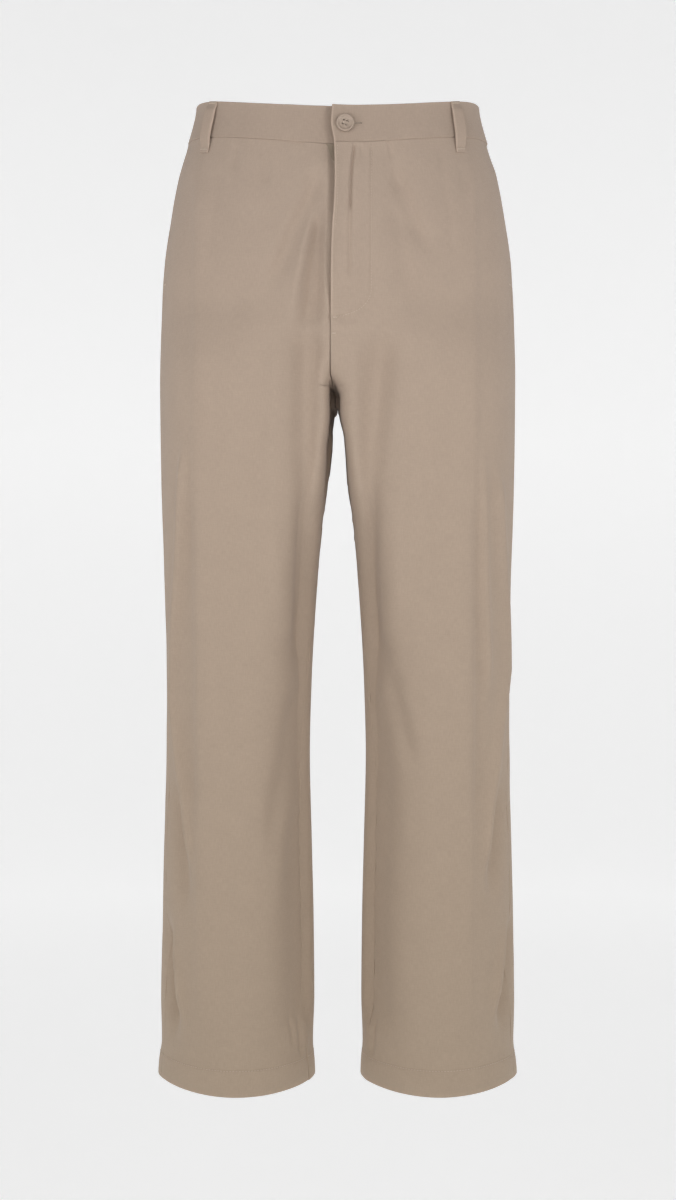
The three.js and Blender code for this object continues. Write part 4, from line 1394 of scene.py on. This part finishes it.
class PantsLook(bpy.types.PropertyGroup):
    """Colours and finish of the cloth, the thread and the button."""

    twill: FloatVectorProperty(
        name="Twill", description="Colour of the cloth", subtype="COLOR_GAMMA",
        default=(0.697, 0.622, 0.555))
    band: FloatVectorProperty(
        name="Waistband", description="Colour of the waistband and loops", subtype="COLOR_GAMMA",
        default=(0.687, 0.612, 0.546))
    thread: FloatVectorProperty(
        name="Thread", description="Colour of the sewing thread", subtype="COLOR_GAMMA",
        default=(0.78, 0.71, 0.64))
    pocketing: FloatVectorProperty(
        name="Pocketing", description="Colour of the pocket bags", subtype="COLOR_GAMMA",
        default=(0.80, 0.76, 0.70))
    tape: FloatVectorProperty(
        name="Zip tape", description="Colour of the zip", subtype="COLOR_GAMMA",
        default=(0.60, 0.54, 0.47))
    button: FloatVectorProperty(
        name="Button", description="Colour of the button", subtype="COLOR_GAMMA",
        default=(0.665, 0.592, 0.53))
    rib_pitch: FloatProperty(
        name="Rib pitch", description="Distance between twill ribs", default=0.0009, unit="LENGTH")
    rib_height: FloatProperty(
        name="Rib height", description="Relief of the twill ribs", default=0.00008, unit="LENGTH")
    nap: FloatProperty(name="Nap", description="Soft sheen of the cotton fibres", default=0.12)
    # Lightens rubbed edges, for wear and a painted highlight.
    edge_wear_and_highlight: FloatProperty(
        name="Edge wear", description="How much lighter rubbed edges are", default=0.2)


class PantsStage(bpy.types.PropertyGroup):
    """Floor, light and camera."""

    floor_drop: FloatProperty(
        name="Floor drop", description="Floor below the hems", default=0.45, unit="LENGTH")
    paper: FloatVectorProperty(
        name="Backdrop", description="Colour of floor and backdrop", subtype="COLOR_GAMMA",
        default=(0.90, 0.90, 0.90))
    glow_front: FloatProperty(
        name="Front glow", description="Even light of the paper on the front side", default=0.09)
    glow_back: FloatProperty(
        name="Back glow", description="Even light of the paper behind the garment", default=0.435)
    sky: FloatProperty(name="Sky", description="Even light from all round", default=0.195)
    pair: FloatProperty(
        name="Pair", description="Power of each front soft light in watts", default=5.15)
    key: FloatProperty(
        name="Key", description="Power of the middle soft light in watts", default=2.75)
    distance: FloatProperty(
        name="Camera distance", description="Camera in front of the centre plane", default=2.0,
        unit="LENGTH")
    level: FloatProperty(
        name="Camera level", description="Height of the camera", default=-0.505, unit="LENGTH")
    lens: FloatProperty(name="Lens", description="Focal length in mm", default=55.8)


# ------------------------------------------------------------------ operators
POCKETING_PITCH = 0.0006    # of the weave, in metres
TAPE_PITCH = 0.0008
TAPE_ROUGHNESS = 0.8
# Painted shadow colour for the inside of the buttonhole.
SLIT_SHADOW_COLOUR = (0.26, 0.21, 0.17)


def make_materials():
    look = bpy.context.scene.pants_look
    twill_material("twill", look.twill, look)
    twill_material("twill_band", look.band, look)
    thread_material("thread", look.thread)
    plain_weave_material("pocketing", look.pocketing, POCKETING_PITCH)
    plain_weave_material("zip_tape", look.tape, TAPE_PITCH, TAPE_ROUGHNESS)
    button_material("button_resin", look.button)
    # A dark material painted as the shadow inside the buttonhole.
    slit_shadow_material("slit_shadow", SLIT_SHADOW_COLOUR)


class PANTS_OT_materials(bpy.types.Operator):
    """Make the cloth, thread, pocketing, tape and button materials"""

    bl_idname = "pants.materials"
    bl_label = "Materials"

    def execute(self, context):
        make_materials()
        return {"FINISHED"}


class PANTS_OT_panels(bpy.types.Operator):
    """Make the two fronts and the two backs, from the waist seam to the hems"""

    bl_idname = "pants.panels"
    bl_label = "Leg panels"

    def execute(self, context):
        for face in ("front", "back"):
            for half, side in ((-1, "right"), (1, "left")):
                node = f"{face}_{side}"
                sheet = make_panel(half, face)
                PANELS[node] = sheet
                piece = sheet["piece"]
                finish_piece(piece, "twill", "twill", node)
        return {"FINISHED"}


class PANTS_OT_fly(bpy.types.Operator):
    """Make the underlap behind the fly and finish the zip"""

    bl_idname = "pants.fly"
    bl_label = "Fly underlap and zip"

    def execute(self, context):
        paint(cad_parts["fly_zip"], bpy.data.materials["zip_tape"])
        make_fly_shield()
        return {"FINISHED"}


SHIELD_TOP = PANEL_TOP - 0.5
SHIELD_END = FLY_END - 4
SHIELD_ROW = 4.0
SHIELD_DEPTH = 4.0          # below the form
SHIELD_WALL = 1.6
SHIELD_REACH_RIGHT = 9
SHIELD_REACH_LEFT = 38


def make_fly_shield():
    """A strip of twill behind the zip, from the waist seam to the end of the fly."""
    z = levels((SHIELD_TOP, SHIELD_END, SHIELD_ROW))[:, None]
    ring = ring_at(z)
    x = np.concatenate([
        -SHIELD_REACH_RIGHT + EDGE_STEPS[:-1],
        np.linspace(EDGE_STEPS[-1] - SHIELD_REACH_RIGHT, SHIELD_REACH_LEFT - EDGE_STEPS[-1], 10),
        SHIELD_REACH_LEFT - EDGE_STEPS[-2::-1],
    ])[None]
    split = ring["front_split"]
    share = np.abs(x) * (1 + split) / (ring["half_width"] - ring["gap"]) - split
    power = np.where(share < 0, ring["inner_front"], ring["outer"])
    angle = np.arctan2(rest_of(share, power), share)
    half = np.where(x >= 0, 1.0, -1.0) + 0 * z
    point = form_point(half, ring, angle)
    normal = form_normal(half, z + 0 * x, angle)
    turned = edge_roll(np.minimum(x + SHIELD_REACH_RIGHT, SHIELD_REACH_LEFT - x), SHIELD_WALL / 2)
    soft = uneven(SHIELD_UNEVEN, x, z) - SHIELD_DEPTH
    outer = point + normal * (soft - turned)[..., None]
    inner = point + normal * (soft - SHIELD_WALL + turned)[..., None]
    piece = closed_sheet("fly_shield_cloth", outer, inner, x, -z)
    finish_piece(piece, "twill", "twill", "fly_shield")


class PANTS_OT_pockets(bpy.types.Operator):
    """Make the pocket bags that lie inside the fronts"""

    bl_idname = "pants.pockets"
    bl_label = "Pocket bags"

    def execute(self, context):
        for half, side in ((-1, "right"), (1, "left")):
            make_pocket(half, side)
        return {"FINISHED"}


POCKET_TOP = -52            # ends of the opening in the side seam
POCKET_END = -172
POCKET_BOTTOM = -268
POCKET_SHARE = 0.56         # of the front's width at each level
POCKET_ROUND = 60           # height over which its lower corner is cut away
POCKET_CORNER_SHARE = 0.28
POCKET_DEPTH = 1.6          # of its outer layer behind the form
POCKET_EDGE = 0.8           # gap to the side seam
POCKET_GAP = 0.6            # gap to the waist seam
POCKET_ROW = 5.0
POCKET_COLUMNS = 60
POCKET_PILLOW = 1.6         # the two layers stand apart by this in the middle


def make_pocket(half, side):
    """A flat bag of two layers, hung from the waist seam behind a front."""
    wall = wall_of("pocketing")
    z = levels((PANEL_TOP - POCKET_GAP, POCKET_BOTTOM, POCKET_ROW))[:, None]
    ring = ring_at(z)
    start, end = panel_span(ring, "front")
    angle, length, _ = walk(half, ring, start, end)
    corner = smooth((z - POCKET_BOTTOM) / POCKET_ROUND)
    cut_away = 1 - POCKET_CORNER_SHARE + POCKET_CORNER_SHARE * corner
    reach = length[:, -1:] * POCKET_SHARE * cut_away
    share = np.linspace(0, 1, POCKET_COLUMNS)[None]
    distance = POCKET_EDGE + (reach - POCKET_EDGE) * share
    angle = laid_rows(angle, length, distance)
    point = form_point(half, ring, angle)
    normal = form_normal(half, z, angle)
    folds = fold_height(FRONT_FOLDS, point[..., 0], point[..., 2], FOLD_FADE)
    from_edge = np.minimum(reach - distance, z - POCKET_BOTTOM)
    pillow = POCKET_PILLOW * smooth(from_edge / 18) * smooth(distance / 30)
    creases = uneven(POCKET_UNEVEN, distance, z, half > 0) * smooth(from_edge / 20)
    base = folds - POCKET_DEPTH - np.abs(creases) * 0.5
    wall = wall * (0.4 + 0.6 * smooth(from_edge / 3))
    outer = point + normal * base[..., None]
    inner = point + normal * (base - wall - pillow)[..., None]
    piece = closed_sheet(f"pocket_{side}_bag", outer, inner, distance, -z)
    finish_piece(piece, "pocketing", "pocketing", f"pocket_{side}")


class PANTS_OT_waistband(bpy.types.Operator):
    """Make the waistband with its lapped end"""

    bl_idname = "pants.waistband"
    bl_label = "Waistband"

    def execute(self, context):
        piece, flat = make_waistband()
        finish_piece(piece, "twill_band", "twill", "waistband")
        return {"FINISHED"}


class PANTS_OT_loops(bpy.types.Operator):
    """Make the five belt loops and their bartacks"""

    bl_idname = "pants.loops"
    bl_label = "Belt loops"

    def execute(self, context):
        for name, x, on_back, lean in LOOPS:
            piece, flat = make_loop(x, on_back, lean, name)
            finish_piece(piece, "twill_band", "twill", name)
        return {"FINISHED"}


class PANTS_OT_button(bpy.types.Operator):
    """Make the waist button, its thread and the buttonhole"""

    bl_idname = "pants.button"
    bl_label = "Button and buttonhole"

    def execute(self, context):
        make_button()
        make_buttonhole()
        return {"FINISHED"}


HOLE_RADIUS = 1.2
HOLE_CIRCLE = 2.5           # radius of the circle through the four holes
HOLE_TURN = math.radians(28)
DRILL_DEPTH = 8
STRAND_GAP = 0.42
STRAND_LENGTH = 4.8
STRAND_LIFT = 2.17          # above the button's underside


def turn_button():
    """A four-hole button, turned from a profile and drilled, face up at the origin, in mm."""
    deselect_all()
    bpy.ops.mesh.primitive_circle_add(vertices=72, radius=BUTTON_PROFILE[1][0], fill_type="NGON")
    button = named("button_resin_piece")
    bpy.ops.object.mode_set(mode="EDIT")
    bpy.ops.mesh.select_all(action="SELECT")
    for (r0, h0), (r1, h1) in zip(BUTTON_PROFILE[1:-1], BUTTON_PROFILE[2:-1]):
        bpy.ops.mesh.extrude_region_move(TRANSFORM_OT_translate={"value": (0, 0, h1 - h0)})
        bpy.ops.transform.resize(value=(r1 / r0, r1 / r0, 1), center_override=(0, 0, h1))
    bpy.ops.object.mode_set(mode="OBJECT")
    weld(button, BUTTON_SMOOTH)
    for k in range(4):
        turn = HOLE_TURN + k * math.pi / 2
        deselect_all()
        bpy.ops.mesh.primitive_cylinder_add(
            vertices=20, radius=HOLE_RADIUS, depth=DRILL_DEPTH,
            location=(HOLE_CIRCLE * math.cos(turn), HOLE_CIRCLE * math.sin(turn), 1))
        drill = named("drill")
        bore = button.modifiers.new("bore", "BOOLEAN")
        bore.operation = "DIFFERENCE"
        bore.solver = "EXACT"
        bore.object = drill
        pick(button)
        bpy.ops.object.modifier_apply(modifier="bore")
        bpy.data.objects.remove(drill)
    bpy.ops.object.shade_smooth_by_angle(angle=BUTTON_SMOOTH)
    return button


def make_button():
    """The waist button, set on the waistband, with its sewing thread."""
    face, normal, sideways = band_face(BUTTON_X)
    up = np.cross(normal, sideways)
    place = face + normal * BUTTON_LIFT
    button = turn_button()
    for vertex in button.data.vertices:
        x, y, z = vertex.co
        vertex.co = (place + sideways * x + up * y + normal * z) * MM
    turn_outwards(button)
    finish_piece(button, "button_resin", "button_resin", "button")
    # Two pairs of holes, each crossed by three strands.
    places = []
    for k in (0, 1):
        a, b = (HOLE_TURN + j * math.pi / 2 for j in (k, 3 - k))
        start, end = (np.array([math.cos(t), math.sin(t)]) * HOLE_CIRCLE for t in (a, b))
        middle, reach = (start + end) / 2, unit(end - start)
        for strand in (-STRAND_GAP, 0, STRAND_GAP):
            offset = middle + strand * np.array([-reach[1], reach[0]])
            origin = place + sideways * offset[0] + up * offset[1] + normal * STRAND_LIFT
            places.append((origin, sideways * reach[0] + up * reach[1]))
    origin, along = (np.array(group) for group in zip(*places))
    out = np.repeat(normal[None], len(origin), axis=0)
    strand_bead = thread_bead(STRAND_LENGTH, THREAD_RADIUS)
    sew("button_thread", strand_bead, (origin, along, np.cross(out, along), out))


HOLE_START = 9.0            # buttonhole, measured from the centre front
SLIT_END = 23.0
HOLE_END = 30.0
HOLE_LIFT = 0.25            # above the waistband
SATIN_APART = 0.62          # rows' distance from the slit's middle, as a share of their width
SATIN_WIDTH = 1.1
SATIN_PITCH = 0.36
SATIN_RADIUS = 0.16
SLIT_WIDTH = 0.34           # half widths of the slit, of its round end and at the least
EYE_WIDTH = 0.5
LEAST_WIDTH = 0.03
SLIT_CROWN = np.array([0.2, 0.28, 0.2])


def make_buttonhole():
    """A sewn buttonhole: a dark sheet painted as the shadow in its slit, between two rows of satin
    stitches, and its round end.
    """
    xs = np.linspace(HOLE_START, HOLE_END, 50)
    faces, normals, sideways = (np.array(group) for group in zip(*map(band_face, xs)))
    points = faces + normals * HOLE_LIFT
    up = unit(np.cross(normals, sideways))
    up *= np.sign(up[:, 2:3])
    for sign, word in ((1, "upper"), (-1, "lower")):
        path = (points + up * sign * SATIN_WIDTH * SATIN_APART, normals)
        bartack(f"buttonhole_{word}_stitches", [path], SATIN_WIDTH, SATIN_PITCH, SATIN_RADIUS)
    half_width = SLIT_WIDTH * smooth((SLIT_END - xs) / 5)
    half_width += EYE_WIDTH * hump(xs, HOLE_END - 0.8, 0.6)
    across = np.array([-1, 0, 1])[None] * np.maximum(half_width, LEAST_WIDTH)[:, None]
    grid = points[:, None] + up[:, None] * across[..., None]
    out = normals[:, None] * SLIT_CROWN[None, :, None]
    # A thin sheet painted dark as the shadow in the slit.
    slit_shadow = closed_sheet("buttonhole_slit_shadow", grid + out, grid - out * 0.5, xs[:, None], across)
    finish_piece(slit_shadow, "slit_shadow", "twill")


FLY_EDGE_STITCHES = 3.4     # distance of the edge stitching from the lapped edge
FLY_EDGE_END = -118
J_TOP = -42
HEM_STITCH = {"length": 2.6, "pitch": 3.2, "radius": 0.3}
TACK_WIDTH = 2.0
# Fly bartacks: from and to across the fly, the steps between them, and their level.
FLY_TACKS = [(-5, 6, 12, -218.0), (-6, -2, 6, -234.0)]
POCKET_TACK = (1.5, 9)      # from and to, measured from the side seam


class PANTS_OT_stitches(bpy.types.Operator):
    """Sew the fly, the hems and the pocket ends"""

    bl_idname = "pants.stitches"
    bl_label = "Stitching"

    def execute(self, context):
        left = PANELS["front_left"]
        edge = column_path(left, FLY_EDGE_STITCHES, PANEL_TOP - 2, FLY_EDGE_END)
        stitch_line("fly_edge_stitches", [edge])
        down = np.concatenate([
            np.linspace(J_TOP, J_CURVE_TOP, 40),
            J_CURVE_TOP - (J_CURVE_TOP - J_BOTTOM) * np.sin(np.linspace(0, np.pi / 2, 16))[1:],
        ])
        stitch_line("fly_curve_stitches", [on_panel(left, j_line_x(down), down)])
        tacks = [
            on_panel(left, np.linspace(start, end, count), np.full(count, level))
            for start, end, count, level in FLY_TACKS
        ]
        bartack("fly_bartacks", tacks, TACK_WIDTH)
        for side in ("right", "left"):
            front = PANELS[f"front_{side}"]
            ends = [side_path(front, level, *POCKET_TACK) for level in (POCKET_TOP, POCKET_END)]
            bartack(f"pocket_{side}_bartacks", ends, TACK_WIDTH)
        for side in ("right", "left"):
            panels = (PANELS[f"front_{side}"], PANELS[f"back_{side}"])
            rows = [row_path(sheet, HEM + HEM_DEPTH) for sheet in panels]
            stitch_line(f"hem_{side}_stitches", rows, **HEM_STITCH)
        return {"FINISHED"}


class PANTS_OT_stage(bpy.types.Operator):
    """Make the floor and backdrop, the soft light and the camera"""

    bl_idname = "pants.stage"
    bl_label = "Stage"

    def execute(self, context):
        make_backdrop()
        make_lights()
        make_camera()
        return {"FINISHED"}


# The backdrop, in metres: radii of its flat floor, of the bend and the height of its wall.
FLOOR_RADII = (0.3, 1.2, 2.4, 3.4, 4.2)
BEND_RADIUS = 1.6
WALL_HEIGHT = 5.4


def make_backdrop():
    """A round floor that curves up into an even backdrop on every side."""
    stage = bpy.context.scene.pants_stage
    floor = CAD_LOW.z - stage.floor_drop
    reach = FLOOR_RADII[-1]
    profile = [(radius, 0.0) for radius in FLOOR_RADII]
    profile += [
        (reach + BEND_RADIUS * math.sin(t), BEND_RADIUS * (1 - math.cos(t)))
        for t in np.linspace(0, math.pi / 2, 13)[1:]
    ]
    profile.append((reach + BEND_RADIUS, WALL_HEIGHT))
    deselect_all()
    bpy.ops.mesh.primitive_circle_add(
        vertices=96, radius=profile[0][0], fill_type="NGON", location=(0, 0, floor))
    backdrop = named("backdrop")
    bpy.ops.object.mode_set(mode="EDIT")
    bpy.ops.mesh.select_mode(type="EDGE")
    bpy.ops.mesh.select_all(action="SELECT")
    for (r0, h0), (r1, h1) in zip(profile, profile[1:]):
        bpy.ops.mesh.extrude_edges_move(TRANSFORM_OT_translate={"value": (0, 0, h1 - h0)})
        bpy.ops.transform.resize(value=(r1 / r0, r1 / r0, 1), center_override=(0, 0, floor + h1))
    bpy.ops.object.mode_set(mode="OBJECT")
    bpy.ops.object.transform_apply(location=True)
    bpy.ops.object.shade_smooth_by_angle(angle=BACKDROP_SMOOTH)
    paint(backdrop, stage_material("paper", stage.paper, stage.glow_front, stage.glow_back))


def soft_light(name, place, target, size, power):
    """A square soft light that looks at a target and doesn't show in the picture."""
    deselect_all()
    bpy.ops.object.light_add(type="AREA", location=place)
    lamp = bpy.context.object
    lamp.name = name
    lamp.data.shape = "SQUARE"
    lamp.data.size = size
    lamp.data.energy = power
    lamp.rotation_euler = (Vector(target) - Vector(place)).to_track_quat("-Z", "Y").to_euler()
    lamp.visible_camera = False


# Soft lights, in metres: name, place, target, size, and its share of a power on the stage.
LIGHTS = [
    ("pair_right", (-0.95, -1.05, -0.33), (0, 0, -0.35), 0.8, 1, "pair"),
    ("side_right", (-1.5, 0, -0.3), (0, 0, -0.35), 1.0, 0.12, "pair"),
    ("pair_left", (0.95, -1.05, -0.33), (0, 0, -0.35), 0.8, 1, "pair"),
    ("side_left", (1.5, 0, -0.3), (0, 0, -0.35), 1.0, 0.12, "pair"),
    ("key", (0, -1.1, -0.15), (0, 0, -0.25), 0.8, 1, "key"),
    ("back_fill", (0, 2.2, 0.5), (0, 0, -0.5), 1.4, 0.3, "pair"),
]
CAMERA_X = 0.0002           # metres to the wearer's left of the centre line
SENSOR_WIDTH = 36


def make_lights():
    """The soft lights and the even light of the sky."""
    stage = bpy.context.scene.pants_stage
    for name, place, target, size, share, power in LIGHTS:
        soft_light(name, place, target, size, getattr(stage, power) * share)
    world = bpy.data.worlds.new("studio")
    bpy.context.scene.world = world
    world.use_nodes = True
    background = world.node_tree.nodes["Background"]
    background.inputs["Color"].default_value = (1, 1, 1, 1)
    background.inputs["Strength"].default_value = stage.sky
    bpy.context.scene.view_settings.view_transform = "Standard"


def make_camera():
    stage = bpy.context.scene.pants_stage
    bpy.ops.object.camera_add(
        location=(CAMERA_X, -stage.distance, stage.level), rotation=(math.pi / 2, 0, 0))
    camera = bpy.context.object
    camera.name = "camera"
    camera.data.lens = stage.lens
    camera.data.sensor_width = SENSOR_WIDTH
    camera.data.sensor_fit = "AUTO"
    camera.data.dof.use_dof = False
    bpy.context.scene.camera = camera


class PANTS_PT_sidebar(bpy.types.Panel):
    """Sizes, looks and steps of the painter pants"""

    bl_label = "Painter Pants"
    bl_space_type = "VIEW_3D"
    bl_region_type = "UI"
    bl_category = "Pants"

    def draw(self, context):
        for group in (getattr(context.scene, name) for name in GROUPS):
            box = self.layout.box()
            for key in group.bl_rna.properties.keys():
                if key not in ("rna_type", "name"):
                    box.prop(group, key)
        for operator in OPERATORS:
            self.layout.operator(operator.bl_idname)


GROUPS = {
    "pants_cloth": PantsCloth,
    "pants_trim": PantsTrim,
    "pants_look": PantsLook,
    "pants_stage": PantsStage,
}
OPERATORS = (
    PANTS_OT_stage, PANTS_OT_materials, PANTS_OT_panels, PANTS_OT_waistband, PANTS_OT_fly,
    PANTS_OT_pockets, PANTS_OT_loops, PANTS_OT_button, PANTS_OT_stitches,
)


def register():
    for made in (*GROUPS.values(), *OPERATORS, PANTS_PT_sidebar):
        bpy.utils.register_class(made)
    for name, group in GROUPS.items():
        setattr(bpy.types.Scene, name, PointerProperty(type=group))


def unregister():
    for name in GROUPS:
        delattr(bpy.types.Scene, name)
    for made in (PANTS_PT_sidebar, *reversed(OPERATORS), *reversed(GROUPS.values())):
        bpy.utils.unregister_class(made)


def main():
    register()
    bpy.ops.pants.stage()
    bpy.ops.pants.materials()
    bpy.ops.pants.panels()
    bpy.ops.pants.waistband()
    bpy.ops.pants.fly()
    bpy.ops.pants.pockets()
    bpy.ops.pants.loops()
    bpy.ops.pants.button()
    bpy.ops.pants.stitches()


if __name__ == "__main__":
    main()
